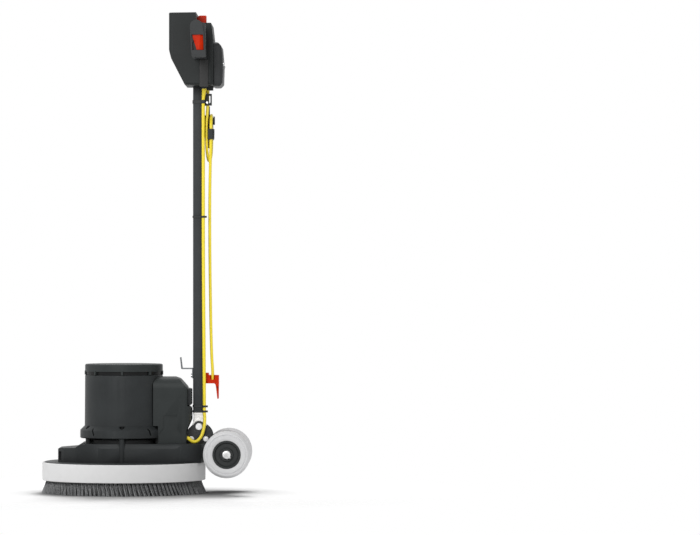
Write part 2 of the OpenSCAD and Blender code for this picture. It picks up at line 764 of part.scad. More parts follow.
cord_route = [
  [225, -19, head_z + 3], [225, -19, head_z - 6], [225, -19, clip_z1], [225, -19, clip_z0],
  [223.8, -20.6, 1016], [222.4, -23, 996], [222, -24.4, 972], [222, -24.4, 946], [222.6, -22.6, 925],
  [224, -17, 907], [225.6, -8.5, 895], [227.4, 3, 888.8], [229.4, 14.5, 889.5], [231.2, 25, 896],
  [232.6, 33, 907], [233.4, 37.4, 922], [234, 39, 940], [234.3, 39.2, 958], [234.4, 38.9, 973],
  [234.4, 34.6, 990.3], [234.4, 23.2, 1003.2], [234.4, 8.4, 1009.3], [234.4, -6.9, 1008.8],
  [234.4, -21.7, 1001.3], [234.4, -31.4, 988.6], [234.4, -34.9, 973], [234.2, -35.2, 955],
  [233.8, -34.2, 934], [233, -31.6, 904],
  [232, -27, 866], [231, -21, 818], [230.4, -15.5, 758], [230.3, -11, 690], [230.8, -8, 610],
  [232, -7.5, 520], [233.6, -9, 430], [236, -11.6, 358], [237.8, -13, 330], [238.2, -13, 312],
  [238.2, -13, hook_floor_z]];

function lead_x(z) = lookup(z, [for (p = lead_route) [p.z, p.x]]);

function along(path, i) = unit(path[min(i + 1, len(path) - 1)] - path[max(i - 1, 0)]);

// Rings of points round a route, square to it, and the faces between them
function ring_points(path, r, sides) = [for (i = [0 : len(path) - 1]) let (
  t = along(path, i),
  side = unit(cross(t, [1, 0.02, 0.01])),
  up = cross(t, side)
) for (k = [0 : sides - 1]) path[i] + r * (cos(k * 360 / sides) * side + sin(k * 360 / sides) * up)];

function ring_faces(count, sides) = concat(
  [[for (k = [0 : sides - 1]) k]],
  [for (i = [0 : count - 2]) for (k = [0 : sides - 1])
    let (a = i * sides + k, b = i * sides + (k + 1) % sides)
    each [[a, a + sides, b], [b, a + sides, b + sides]]],
  [[for (k = [sides - 1 : -1 : 0]) (count - 1) * sides + k]]);

module lead(path, d, sides = 8) {
  polyhedron(ring_points(path, d / 2, sides), ring_faces(len(path), sides));
}

module box_gland() {
  color(dark) from_axis() translate([0, lead_y, lead_in_z]) {
    difference() {
      union() {
        along_x(low_back_x - box_wall - 4, gland_x1) circle(r = gland_r);
        along_x(low_back_x + 0.02, gland_x1) circle(r = gland_r + 2);
      }
      along_x(low_back_x, gland_x1 + 1) circle(r = power_lead_d / 2 + seat);
    }
  }
}

module lead_loop() { color(yellow) from_axis() lead(loop_route, power_lead_d); }

module power_lead() { color(yellow) from_axis() lead(lead_route, power_lead_d); }

module mains_cord() { color(yellow) from_axis() lead(cord_route, mains_cord_d); }

// Pivot of the mast
plate_in_y = 31;
plate_z = 150;
plate_bolt_x = [pivot_x - 20, pivot_x + 18.5];
plate_bolt_z = 144.5;
plate_bolt_r = 4.95;

module side_plate() {
  along_y(plate_in_y, plate_in_y + plate_t) difference() {
    union() {
      intersection() {
        translate([pivot_x + 1, plate_z]) circle(r = plate_r);
        translate([pivot_x - 60, deck_top]) square([120, 120]);
      }
      translate([pivot_x, pivot_z]) circle(r = 15);
    }
    translate([pivot_x, pivot_z]) circle(r = pivot_r + run);
    for (x = plate_bolt_x) translate([x, plate_bolt_z]) circle(r = plate_bolt_r + run);
  }
}

module side_plate_left() { color(black) from_axis() mirror([0, 1, 0]) side_plate(); }
module side_plate_right() { color(black) from_axis() side_plate(); }

module bolt_across(x, z, r, head_r) {
  out = plate_in_y + plate_t;
  along_y(-out, out) translate([x, z]) circle(r = r);
  both_sides() translate([x, out, z]) rotate([-90, 0, 0]) {
    cylinder(h = 1.6, r = head_r + 0.9);
    translate([0, 0, 1.6]) cylinder(h = 4.4, r = head_r, $fn = 6);
  }
}

module plate_bolts() {
  color(silver) from_axis() for (x = plate_bolt_x) bolt_across(x, plate_bolt_z, plate_bolt_r, 6.1);
}

module pivot_bolt() { color(silver) from_axis() bolt_across(pivot_x, pivot_z, pivot_r, pivot_r + 1.1); }

module mast_foot() {
  neck_x0 = tube_x - 13.5;
  neck_x1 = tube_x + 13.5;
  inner_d = tube_d - 2 * tube_wall - 2 * seat;
  inner_w = tube_w - 2 * tube_wall - 2 * seat;
  eye_r = 19;
  color(silver) from_axis() difference() {
    union() {
      along_y(-block_half_w, block_half_w) {
        translate([pivot_x, pivot_z]) circle(r = eye_r);
        translate([neck_x0, pivot_z]) square([neck_x1 - neck_x0, 13]);
      }
      translate([0, 0, pivot_z + 13]) linear_extrude(4.5)
        rounded_box(neck_x0 - 1.2, -29, neck_x1 + 1.2, 29, 1.5);
      translate([0, 0, pivot_z + 17]) linear_extrude(tube_foot_z - pivot_z - 17)
        rounded_box(neck_x0, -28, neck_x1, 28, 1.5);
      translate([0, 0, tube_foot_z - 5]) linear_extrude(4.8)
        rounded_box(neck_x0 - 1.2, -29.4, neck_x1 + 1.2, 29.4, 1.5);
      translate([0, 0, tube_foot_z - 1]) linear_extrude(76)
        rounded_box(tube_x - inner_d / 2, -inner_w / 2, tube_x + inner_d / 2, inner_w / 2, 2);
    }
    along_y(-50, 50) translate([pivot_x, pivot_z]) circle(r = pivot_r + run);
    // Pockets that lighten the casting, open upwards into the tube
    for (y = [-13, 13]) translate([tube_x, y, pivot_z + 24]) linear_extrude(100) rounded_box(-7, -9, 7, 9, 3);
  }
}

tube_top_z = head_z + 92;

module mast_tube() {
  color(black) from_axis() difference() {
    translate([0, 0, tube_foot_z]) linear_extrude(tube_top_z - tube_foot_z) difference() {
      rounded_box(tube_x - tube_d / 2, -tube_w / 2, tube_x + tube_d / 2, tube_w / 2, 4);
      rounded_box(tube_x - tube_d / 2 + tube_wall, -tube_w / 2 + tube_wall, tube_x + tube_d / 2 - tube_wall,
        tube_w / 2 - tube_wall, 2);
    }
    bracket_hole();
  }
}

// Tank bracket: a bent strip on the front of the tube
bracket_z = 332;
bracket_t = 3;
bracket_w = 36;

bracket_screw_r = 3;

module bracket_hole() {
  front = tube_x - tube_d / 2;
  along_x(front - 10, front + 10) translate([0, bracket_z - 19]) circle(r = bracket_screw_r + seat / 3);
}

module tank_bracket() {
  front = tube_x - tube_d / 2;
  reach = 29;
  color(steel) from_axis() difference() {
    along_y(-bracket_w / 2, bracket_w / 2) polygon(rounded([
      [front, bracket_z - 26, 0], [front, bracket_z + 1.5, 2.5], [front - reach, bracket_z + 1.5, 1],
      [front - reach - 3.4, bracket_z + 30, 0], [front - reach - 6.4, bracket_z + 30, 0],
      [front - reach - 3, bracket_z - 1.5, 3], [front - bracket_t, bracket_z - 1.5, 1],
      [front - bracket_t, bracket_z - 26, 0]], 4));
    bracket_hole();
  }
}

// Cord hooks on the back of the tube
module lower_cord_hook() {
  color(red) from_axis() difference() {
    union() {
      along_y(-22, 22) polygon(rounded([
        [hook_x0, hook_z, 0], [hook_x0 + 29.5, hook_z, 5], [hook_x0 + 34.5, hook_z - 41.5, 1],
        [hook_x0 + 38, hook_z - 41.5, 1.5], [hook_x0 + 38.5, hook_top, 1.5], [hook_x0, hook_top, 0]], 5));
      along_y(-22, 22) polygon(rounded([[hook_x0, hook_top - 1, 0], [hook_x0 + 12, hook_top - 1, 0],
        [hook_x0 + 11, hook_top + 6, 1.5], [hook_x0, hook_top + 6, 0]], 3));
    }
    // Pocket that the cord goes down into, and the notch in the near cheek
    translate([0, 0, hook_floor_z]) linear_extrude(40)
      rounded_box(hook_x0 + 15, -18.5, hook_x0 + 30, 18.5, 3);
    along_y(-23, -17) translate([hook_x0 + 22.2, 0]) polygon(rounded([
      [-6, hook_top + 2, 0], [-6, hook_top - 12, 5], [6, hook_top - 12, 5], [6, hook_top + 2, 0]], 5));
    // The tail is narrower than the body
    both_sides() translate([hook_x0 + 10, 9, hook_z - 60]) cube([40, 30, 52]);
  }
}

upper_hook_z = 945;
saddle_r = 31.7;
saddle_y = 2;
cheek_y = 41.6;
cheek_t = 2.4;

module upper_cord_hook() {
  plate_x0 = hook_x0 + 7.5;
  plate_x1 = plate_x0 + 6.5;
  saddle_x1 = plate_x1 + 8.4;
  color(black) from_axis() {
    along_y(-12, 12) translate([hook_x0, upper_hook_z + 5]) square([8, 60]);
    along_y(-14, 14) rounded_box(plate_x0, upper_hook_z - 23, plate_x1, clip_z0 - 1, 2);
    // Block and the round saddle that the cord lies over
    along_y(-26, 26) polygon(rounded([
      [plate_x1 - 2, upper_hook_z, 0], [plate_x1 + 11.5, upper_hook_z, 3],
      [plate_x1 + 12, upper_hook_z + 28, 0], [plate_x1 - 2, upper_hook_z + 28, 0]], 3));
    along_x(plate_x1 - 1, saddle_x1) difference() {
      translate([saddle_y, upper_hook_z + 28]) circle(r = saddle_r);
      translate([-60, upper_hook_z - 60]) square([120, 80]);
    }
    // Cheek on each side, so that the cord hangs down between it and the block
    for (side = [-1, 1]) translate([0, saddle_y, 0]) mirror([0, side < 0 ? 1 : 0, 0]) {
      translate([plate_x1 - 4, 22, upper_hook_z]) cube([cheek_t, cheek_y + cheek_t - 22, 28]);
      translate([plate_x1 - 4, cheek_y, upper_hook_z]) cube([saddle_x1 + 4.5 - plate_x1, cheek_t, 28]);
    }
    // Tip that keeps the cord on
    along_y(-14, 18) polygon(rounded([
      [saddle_x1 - 3, upper_hook_z + 40, 0], [saddle_x1 + 5, upper_hook_z + 40, 2],
      [saddle_x1 + 5, upper_hook_z + 62, 1.2], [saddle_x1 + 2.2, upper_hook_z + 62, 1],
      [saddle_x1, upper_hook_z + 52, 0], [saddle_x1 - 3, upper_hook_z + 51, 0]], 3));
  }
}

// Clip that holds the cord to the tube under the head
module cord_clip() {
  clip_x1 = hook_x0 + 20;
  color(black) from_axis() difference() {
    translate([0, 0, clip_z0]) linear_extrude(clip_z1 - clip_z0) polygon(rounded([
      [hook_x0, -15, 0], [hook_x0, 15, 0], [hook_x0 + 5, 15, 3], [hook_x0 + 6, -8, 4],
      [clip_x1, -8, 5], [clip_x1, -clip_y, 6], [hook_x0 + 2, -clip_y, 5]], 5));
    translate([cord_route[2].x, cord_route[2].y, clip_z0 - 1])
      cylinder(h = clip_z1 - clip_z0 + 2, r = mains_cord_d / 2 + seat / 2);
    // Window through the clip, beside the cord
    along_y(-clip_y - 1, 0) rounded_box(hook_x0 + 11.5, clip_z0 + 6, hook_x0 + 16.5, clip_z1 - 5, 2.4);
    // Room for the strap that passes between the clip and the tube
    translate([0, 0, clip_tie_z - clip_tie_h / 2 - seat]) linear_extrude(clip_tie_h + 2 * seat)
      tie_outline(clip_tie_z, 2 * seat + tie_t);
  }
}

// Straps that hold the power lead to the tube
clip_tie_z = 1045.5;
clip_tie_h = 9;
tie_t = 1.2;
tie_h = 5;
ties = [[lead_tie_z, tie_h], [lead_tie_z + 13.4, tie_h], [738, tie_h], [clip_tie_z, clip_tie_h]];

module tie_outline(z, grow) {
  lead_out = power_lead_d / 2 + grow;
  rounded_box(tube_x - tube_d / 2 - grow, -tube_w / 2 - grow, hook_x0 + grow, tube_w / 2 + grow, 4);
  translate([lead_x(z), lead_side_y]) circle(r = lead_out);
  translate([lead_x(z) - lead_out, lead_side_y]) square([2 * lead_out, power_lead_d / 2]);
}

module cable_ties() {
  color(black) from_axis() for (tie = ties) translate([0, 0, tie[0] - tie[1] / 2]) linear_extrude(tie[1])
    difference() {
      union() {
        tie_outline(tie[0], seat + tie_t);
        // Locking head of the strap
        if (tie[1] == tie_h)
          translate([lead_x(tie[0]) + power_lead_d / 2, lead_side_y - 2.5]) square([5, 5]);
      }
      tie_outline(tie[0], seat);
    }
}

// Wheels
axle_core_r = axle_r + 4;
wheel_in_y = track / 2 - wheel_w / 2;

module axle() {
  color(steel) from_axis() translate([axle_x, 0, axle_z]) rotate([90, 0, 0]) {
    translate([0, 0, -wheel_in_y + 0.5]) cylinder(h = 2 * wheel_in_y - 1, r = axle_core_r);
    translate([0, 0, -wheel_in_y - wheel_w - 1]) cylinder(h = 2 * (wheel_in_y + wheel_w + 1), r = axle_r);
  }
}

module axle_caps() {
  cap_y = wheel_in_y + wheel_w + 1;
  color(silver) from_axis() both_sides() translate([axle_x, cap_y, axle_z]) rotate([-90, 0, 0]) {
    rotate_extrude() polygon(rounded([[0, 0, 0], [12, 0, 0], [12, 2, 1], [10, 5, 2], [0, 6, 0]], 4));
    translate([2, -1.5, 1]) rotate(45) cube([13, 3, 2.2]);
  }
}

module tyre() {
  half = wheel_w / 2;
  step = 1.6;
  rotate_extrude($fn = 96) difference() {
    polygon(rounded([[wheel_hub_r, -half + 2, 0], [wheel_hub_r + 6, -half, 2], [wheel_r - 6, -half, 4],
      [wheel_r, -half + 8, 6], [wheel_r, half - 8, 6], [wheel_r - 6, half, 4], [wheel_hub_r + 6, half, 2],
      [wheel_hub_r, half - 2, 0]], 5));
    // Moulded ring on each side wall
    for (s = [-1, 1]) translate([wheel_r - 11, s * half]) circle(r = step, $fn = 16);
  }
}

module wheel_hub() {
  half = wheel_w / 2 - 1;
  rim = wheel_hub_r - seat / 6;
  rotate_extrude($fn = 96) polygon([
    [axle_r + run, -half], [axle_r + 7, -half], [axle_r + 9, -half + 5], [rim - 8, -half + 5],
    [rim - 5, -half], [rim, -half], [rim, half], [rim - 5, half], [rim - 8, half - 5],
    [axle_r + 9, half - 5], [axle_r + 7, half], [axle_r + run, half]]);
}

module at_wheel(side) {
  from_axis() translate([axle_x, side * track / 2, axle_z]) rotate([90, 0, 0]) children();
}

module tyre_left() { color(grey) at_wheel(-1) tyre(); }
module tyre_right() { color(grey) at_wheel(1) tyre(); }
module hub_left() { color(dark) at_wheel(-1) wheel_hub(); }
module hub_right() { color(dark) at_wheel(1) wheel_hub(); }

// Head, with X counted from the middle of the tube and Z from the underside of the head
split_x = -4.5;
rear_x = 41;
rear_top = 165;
cover_x = 65.5;

function front_side(in) = concat(
  in > 0 ? [[split_x + 5, in, 0], [split_x + 5, rear_top - in, 0], [split_x - in, rear_top - in, 0],
    [split_x - in, head_h - in, 0]] : [[split_x, 0, 0], [split_x, head_h, 0]],
  [[-76.6 + in, head_h - 1 - in, 3 - in / 2], [-76.6 + in, 93, 24], [-70.6 + in, 70, 30],
      [-34.5 + in * 0.4, in, 2]]);

function rear_side(in) = [
  [split_x - (in > 0 ? 5 : 0), in, 0], [rear_x - in, in, 4 - in / 2], [rear_x + 1 - in, 114, 0],
  [rear_x - 5 - in, rear_top - in, 3 - in / 2], [split_x - (in > 0 ? 5 : 0), rear_top - in, 0]];

module from_head() { from_axis() translate([tube_x, 0, head_z]) children(); }

module head_solid(outline, in, round_z) {
  half = head_w / 2 - in;
  intersection() {
    along_y(-half, half) polygon(rounded(outline, 6));
    along_x(-120, 120) polygon(rounded(rect(-half, in, half, 400, round_z), 5));
    linear_extrude(400) polygon(rounded(rect(-77 + in, -half, rear_x + 1 - in, half, 10 - in), 5));
  }
}

grip_dx = 0;
window_z0 = grip_up - 61;
window_z1 = grip_up - 20;
guard_z0 = grip_up - 80;

// Opening in the sides of the head for the inner ends of the triggers
module grip_opening() {
  both_sides() translate([grip_dx - slot_half, head_w / 2 - 12, grip_up - 40]) cube([2 * slot_half, 20, 30]);
}

module tube_hole() {
  translate([-tube_d / 2 - seat, -tube_w / 2 - seat, -1]) cube([tube_d + 2 * seat, tube_w + 2 * seat, 10]);
}

module head_front() {
  color(black) from_head() difference() {
    head_solid(front_side(0), 0, 6);
    head_solid(front_side(head_wall), head_wall, 4);
    grip_opening();
    tube_hole();
  }
}

button_hx = 13;
button_hy = 20;

shelf_z = rear_top - 30;
shelf_t = 3;

module head_rear() {
  // Shelf inside the shell that the button's spring stands on
  color(black) from_head() translate([split_x + 2, -24, shelf_z]) cube([rear_x - split_x - 5.5, 48, shelf_t]);
  // Raised duct under each grip
  color(black) from_head() both_sides() translate([0, 0, -5]) linear_extrude(guard_z0 + 4)
    rounded_box(5, head_w / 2 - 0.5, 28, head_w / 2 + 4, 1.5);
  color(black) from_head() difference() {
    head_solid(rear_side(0), 0, 6);
    head_solid(rear_side(head_wall), head_wall, 4);
    grip_opening();
    tube_hole();
    // Hole for the start button
    translate([split_x - 1, -button_hy - seat, rear_top - 10])
      cube([button_x1 + seat - split_x + 1, 2 * (button_hy + seat), 20]);
    // Holes for the two glands
    translate([power_gland_x, power_gland_y, -1])
      cylinder(h = 10, r = power_lead_d / 2 + gland_wall + seat / 6);
    translate([cord_gland_x, cord_route[0].y, -1])
      cylinder(h = 10, r = mains_cord_d / 2 + gland_wall + seat / 6);
  }
}

button_x1 = 20;
power_gland_x = lead_route[len(lead_route) - 1].x - tube_x;
power_gland_y = lead_route[len(lead_route) - 1].y;
cord_gland_x = cord_route[0].x - tube_x;
gland_wall = 2.8;

module switch_cover() {
  color(dark) from_head() difference() {
    cover_solid();
    translate([rear_x, 8 - cover_half, 5]) cube([cover_x - 6 - rear_x, 2 * cover_half - 16, 100]);
    both_sides() translate([cover_x - 2, cover_screw_y, cover_screw_z]) rotate([0, 90, 0])
      cylinder(h = 10, r = 4.3);
  }
}

module cover_solid() {
  intersection() {
    along_y(-cover_half, cover_half) polygon(rounded([
      [rear_x + 1, -3, 0], [cover_x - 8, -3, 6], [cover_x, 6, 6], [cover_x + 1.5, 55, 30],
      [cover_x - 3, 104, 8], [cover_x - 12, 114, 6], [rear_x + 1, 115, 0]], 5));
    along_x(0, 100) polygon(rounded(rect(-cover_half, -3, cover_half, 115, 14), 5));
    translate([0, 0, -10]) linear_extrude(200) polygon(rounded([
      [0, -cover_half, 0], [cover_x + 2, -cover_half, 12], [cover_x + 2, cover_half, 12],
      [0, cover_half, 0]], 5));
  }
}

cover_half = 84;
cover_screw_y = 62;
cover_screw_z = 55;

module mast_screws() {
  color(silver) {
    from_axis() translate([tube_x - tube_d / 2 - bracket_t, 0, bracket_z - 19]) rotate([0, -90, 0]) {
      cylinder(h = 3.6, r = 5);
      translate([0, 0, -bracket_t - tube_wall]) cylinder(h = bracket_t + tube_wall + 1, r = bracket_screw_r);
    }
    from_head() both_sides() translate([cover_x - 2, cover_screw_y, cover_screw_z]) rotate([0, 90, 0])
      cylinder(h = 5.2, r = 4);
    // Screw on the near side of the cord's clip
    from_axis() translate([hook_x0 + 7.6, -clip_y, clip_z0 + 7.5]) rotate([90, 0, 0])
      rotate_extrude() polygon([[0, 0], [3.4, 0], [3.4, 1], [2.8, 1.8], [0, 1.8]]);
  }
}

// Gland of a lead, with a block of the given length beside it
module head_gland(x, y, d, block) {
  translate([x, y, 0]) difference() {
    union() {
      if (block > 0)
        translate([0, 0, -12]) linear_extrude(12 - seat / 6) rounded_box(-d / 2 - 1, -10, block, 10, 5);
      translate([0, 0, -4]) cylinder(h = 4 - seat / 6, r = d / 2 + 4);
      translate([0, 0, -8]) cylinder(h = 16, r = d / 2 + gland_wall);
    }
    translate([0, 0, -13]) cylinder(h = 17, r = d / 2 + seat);
  }
}

module head_glands() {
  color(dark) from_head() {
    head_gland(power_gland_x, power_gland_y, power_lead_d, 0);
    head_gland(cord_gland_x, cord_route[0].y, mains_cord_d, 15);
  }
}

// Grips and triggers, drawn for the side where Y is positive
cap_t = 12;
slot_half = 11;
trigger_y = head_w / 2 + 6;
trigger_z = grip_up - 24;

bar_up = 2;

module grip_outline() {
  translate([grip_dx, grip_up + bar_up]) circle(r = grip_r);
  polygon([[grip_dx - grip_r, grip_up], [grip_dx + grip_r, grip_up], [grip_dx + grip_r + 4, window_z1],
    [grip_dx + grip_r + 6, window_z0], [grip_dx + grip_r + 8, guard_z0 + 2], [grip_dx + grip_r + 6, guard_z0],
    [grip_dx - 10, guard_z0], [grip_dx - 12, guard_z0 + 2], [grip_dx - 14, window_z0]]);
}

trigger_pin_r = 2.5;

module grip() {
  end_y = head_w / 2 + grip_len;
  root_y = head_w / 2;
  difference() {
    union() {
      along_y(root_y, end_y) translate([grip_dx, grip_up + bar_up]) circle(r = grip_r);
      along_y(root_y, end_y - 1) polygon(rounded([
        [grip_dx - 9, guard_z0 + 1, 3], [grip_dx + grip_r + 6, guard_z0 + 1, 4],
        [grip_dx + grip_r + 5, guard_z0 + 17, 4], [grip_dx - 9, guard_z0 + 17, 3]], 4));
      along_y(root_y, root_y + 12) grip_outline();
      along_y(end_y - cap_t, end_y) grip_outline();
      // Step behind the rounded end
      along_y(end_y - cap_t, end_y - 3.5) polygon(rounded([
        [grip_dx, grip_up + bar_up + 12, 0], [grip_dx + grip_r + 7, grip_up + bar_up + 9, 4],
        [grip_dx + grip_r + 8, guard_z0 + 4, 2], [grip_dx, guard_z0 + 4, 0]], 4));
    }
    // Slot along the underside of the bar, which the trigger rises into
    translate([grip_dx - slot_half, root_y - 1, grip_up - 40]) cube([2 * slot_half, end_y - root_y - 3, 36]);
    // Hollow end with the window that the trigger shows through
    along_y(end_y - cap_t + 1.5, end_y - 3) polygon([
      [grip_dx - 14, grip_up - 2], [grip_dx + 15, grip_up - 2], [grip_dx + 20, window_z1],
      [grip_dx + 21, window_z0 - 2], [grip_dx - 10, window_z0 - 2], [grip_dx - 14, window_z1]]);
    along_y(end_y - 4, end_y + 1) polygon([[grip_dx - 12.5, window_z1], [grip_dx + 18, window_z1],
      [grip_dx + 20.5, window_z0], [grip_dx - 10, window_z0]]);
  }
  // Pin that the trigger turns on
  along_x(grip_dx - slot_half - 1, grip_dx + slot_half + 1)
    translate([trigger_y, trigger_z]) circle(r = trigger_pin_r);
}

module grip_left() { color(dark) from_head() mirror([0, 1, 0]) grip(); }
module grip_right() { color(dark) from_head() grip(); }

module trigger() {
  end_y = head_w / 2 + grip_len - 5;
  blade_half = slot_half - 1.5;
  difference() {
    union() {
      along_x(grip_dx - blade_half, grip_dx + blade_half) polygon(rounded([
        [trigger_y - 24, trigger_z - 4, 0], [trigger_y - 8, trigger_z - 5, 2],
        [trigger_y + 8, trigger_z - 5, 3], [end_y - 7, grip_up - 31, 3], [end_y, grip_up - 31, 0],
        [end_y, grip_up - 20, 0], [trigger_y + 14, grip_up - 19, 4], [trigger_y + 8, trigger_z + 5, 2],
        [trigger_y - 24, trigger_z + 2, 0]], 3));
      // Head of the trigger, with a hollowed front edge and a rounded outer face
      intersection() {
        along_y(end_y - 4.5, end_y) polygon(rounded([[grip_dx - 11.5, grip_up - 18, 0],
          [grip_dx + 17, grip_up - 18, 0], [grip_dx + 18.5, window_z0 + 1, 0],
          [grip_dx + 1, window_z0 + 1, 0], [grip_dx - 6, grip_up - 38, 40]], 5));
        translate([0, 0, guard_z0]) linear_extrude(80) polygon(rounded([[grip_dx - 12, end_y - 5.5, 0],
          [grip_dx + 19, end_y - 5.5, 0], [grip_dx + 19, end_y - 2.5, 2], [grip_dx + 9, end_y, 8],
          [grip_dx - 2, end_y, 8], [grip_dx - 12, end_y - 2.5, 2]], 4));
      }
    }
    along_x(-40, 40) translate([trigger_y, trigger_z]) circle(r = trigger_pin_r + run);
  }
}

module trigger_left() { color(red) from_head() mirror([0, 1, 0]) trigger(); }
module trigger_right() { color(red) from_head() trigger(); }

module microswitches() {
  inner_y = trigger_y - 36;
  color(dark) from_head() both_sides() translate([grip_dx - 8, inner_y, trigger_z - 28]) {
    cube([16, head_w / 2 - head_wall - seat - inner_y, 20]);
    translate([8, 14, 20]) cylinder(h = 2.6, r = 1.6);
  }
}

module start_button() {
  color(red) from_head() {
    intersection() {
      along_y(-button_hy, button_hy) polygon(rounded([
        [split_x + 0.5, rear_top - 8, 0], [button_x1, rear_top - 8, 0],
        [button_x1, rear_top + 24, 1.5], [split_x + 0.5, rear_top + 24, 9]], 6));
      along_x(-20, 40) polygon(rounded(rect(-button_hy, rear_top - 8, button_hy, rear_top + 24, 4), 4));
    }
    translate([8, 0, shelf_z + shelf_t + button_travel + 1]) cylinder(h = 15, r = 3);
  }
}

module button_spring() {
  turns = 5;
  coil_r = 5.2;
  wire_d = 1.2;
  low = shelf_z + shelf_t + wire_d / 2 + 0.1;
  high = rear_top - 8 - wire_d / 2 - 0.1;
  path = [for (i = [0 : turns * 10])
    [coil_r * cos(i * 36), coil_r * sin(i * 36), low + (high - low) * i / (turns * 10)]];
  color(steel) from_head() translate([8, 0, 0]) lead(path, wire_d, 6);
}

deck();
apron();
bumper_ring();
ring_gear();
bearings();
motor_foot();
foot_bolts();
motor_housing();
motor_cap();
cap_screws();
stator();
electrics_box();
box_vent();
capacitors();
box_gland();
side_plate_left();
side_plate_right();
plate_bolts();
pivot_bolt();
axle();
axle_caps();
lead_loop();
rotor_shaft();
cooling_fan();
sun_gear();
planet_carrier();
coupling_plate();
brush_block();
bristles_front_left();
bristles_front_right();
bristles_rear_left();
bristles_rear_right();
planet_gear_1();
planet_gear_2();
planet_gear_3();
tyre_left();
hub_left();
tyre_right();
hub_right();
mast_foot();
mast_tube();
tank_bracket();
lower_cord_hook();
upper_cord_hook();
cord_clip();
cable_ties();
head_front();
head_rear();
switch_cover();
mast_screws();
grip_left();
grip_right();
microswitches();
head_glands();
power_lead();
mains_cord();
trigger_left();
trigger_right();
start_button();
button_spring();
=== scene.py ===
import json
import math

import bmesh
import bpy
from bpy.props import FloatProperty, FloatVectorProperty, IntProperty, PointerProperty
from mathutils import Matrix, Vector


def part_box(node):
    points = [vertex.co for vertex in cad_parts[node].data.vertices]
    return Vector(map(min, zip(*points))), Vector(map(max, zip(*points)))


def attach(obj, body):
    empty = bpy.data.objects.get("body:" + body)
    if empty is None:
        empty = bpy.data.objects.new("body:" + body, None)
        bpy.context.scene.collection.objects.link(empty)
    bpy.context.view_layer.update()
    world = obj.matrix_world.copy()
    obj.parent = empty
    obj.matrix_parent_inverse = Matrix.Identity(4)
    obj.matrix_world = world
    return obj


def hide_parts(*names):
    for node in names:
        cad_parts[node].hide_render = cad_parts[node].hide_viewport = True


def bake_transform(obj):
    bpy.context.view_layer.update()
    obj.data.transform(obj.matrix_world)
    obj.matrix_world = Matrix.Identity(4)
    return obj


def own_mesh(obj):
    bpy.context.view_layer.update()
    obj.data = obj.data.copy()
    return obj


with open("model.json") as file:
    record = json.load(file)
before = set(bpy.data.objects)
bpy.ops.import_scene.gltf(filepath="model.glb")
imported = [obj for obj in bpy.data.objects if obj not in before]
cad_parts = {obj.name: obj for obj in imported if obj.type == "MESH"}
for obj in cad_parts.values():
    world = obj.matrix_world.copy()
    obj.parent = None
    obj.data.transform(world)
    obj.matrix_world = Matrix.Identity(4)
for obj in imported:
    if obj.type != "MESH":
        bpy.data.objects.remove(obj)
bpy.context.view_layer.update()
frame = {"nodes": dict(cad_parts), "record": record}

bl_info = {
    "name": "Single-disc floor machine",
    "version": (1, 0, 0),
    "blender": (4, 5, 0),
    "location": "3D View > Sidebar > Floor machine",
    "description": "Dresses a single-disc floor machine: finishes, rounded edges, bristles, cords and light",
    "category": "Object",
}

# Sizes and places in metres. X is counted from the middle of the footprint, as in the solid model.
MM = 0.001
MOTION = frame["record"]["behaviour"]
JOINTS = {joint["name"]: joint for joint in MOTION["joints"]}
NODE_BODY = {node: body for body, group in MOTION["bodies"].items() for node in group}
NODE_SLOT = {part["node"]: part["material_slot"] for part in frame["record"]["subparts"]}
BRUSH_X = JOINTS["brush_spin"]["pos_m"][0]
# Half the width of the handle head, without what stands proud of its sides
HEAD_HALF = 0.1
# Height of the motor's neck under its cap, which is painted nearly black as shade
SHADED_NECK_H = 0.0119
# Edges sharper than this are kept sharp in shading and are rounded, in this many steps
EDGE_ANGLE = math.radians(30)
EDGE_STEPS = 3


def linear(code):
    """Turns an sRGB hex colour into the linear colour that the shader takes."""
    values = [int(code[i:i + 2], 16) / 255 for i in (0, 2, 4)]
    return tuple(v / 12.92 if v <= 0.04045 else ((v + 0.055) / 1.055) ** 2.4 for v in values)


def colour_property(name, code, description):
    return FloatVectorProperty(
        name=name, description=description, subtype="COLOR", size=3, min=0.0, max=1.0, default=linear(code))


def length_property(name, millimetres, description):
    return FloatProperty(
        name=name, description=description, subtype="DISTANCE", unit="LENGTH", min=0.0,
        default=millimetres * MM, precision=5)


class FinishSettings(bpy.types.PropertyGroup):
    """Colours of the machine's finishes"""
    paint: colour_property("Paint", "2b2e2f", "Black powder coat on the castings, the motor and the mast")
    shell: colour_property("Shells", "2b2f2f", "Black moulded shells of the head, the cap and the box")
    grip: colour_property("Grips", "343637", "Dark moulded grips and covers")
    red: colour_property("Red parts", "cc2a00", "Triggers, start button and lower cord hook")
    bumper: colour_property("Bumper", "dfdfdf", "Bumper ring round the brush cover")
    tyre: colour_property("Tyres", "d8d8d9", "Non-marking tyres")
    cable: colour_property("Cables", "ffe636", "Sheath of the cord and the leads")
    bristle: colour_property("Bristles", "8e8f90", "Filaments of the brush")


class BristleSettings(bpy.types.PropertyGroup):
    """Sizes of the brush's filaments"""
    height: length_property("Height", 44.6, "Length of the filaments under the backing")
    tuft_width: length_property("Tuft width", 4.8, "Width of a tuft where it leaves the backing")
    filament_width: length_property("Filament width", 1.3, "Thickness of a filament")
    spread: FloatProperty(
        name="Spread", description="How far a filament leans away from its tuft", subtype="ANGLE",
        default=math.radians(1.8))
    per_side: IntProperty(
        name="Filaments", description="Filaments along each side of a tuft", min=2, max=6, default=5)


class EdgeSettings(bpy.types.PropertyGroup):
    """Rounded edges on the rigid pieces"""
    casting: length_property("Castings", 1.6, "Radius on the edges of the castings")
    shell: length_property("Shells", 1.4, "Radius on the edges of the moulded shells")
    fitting: length_property("Fittings", 0.5, "Radius on the edges of the small fittings")


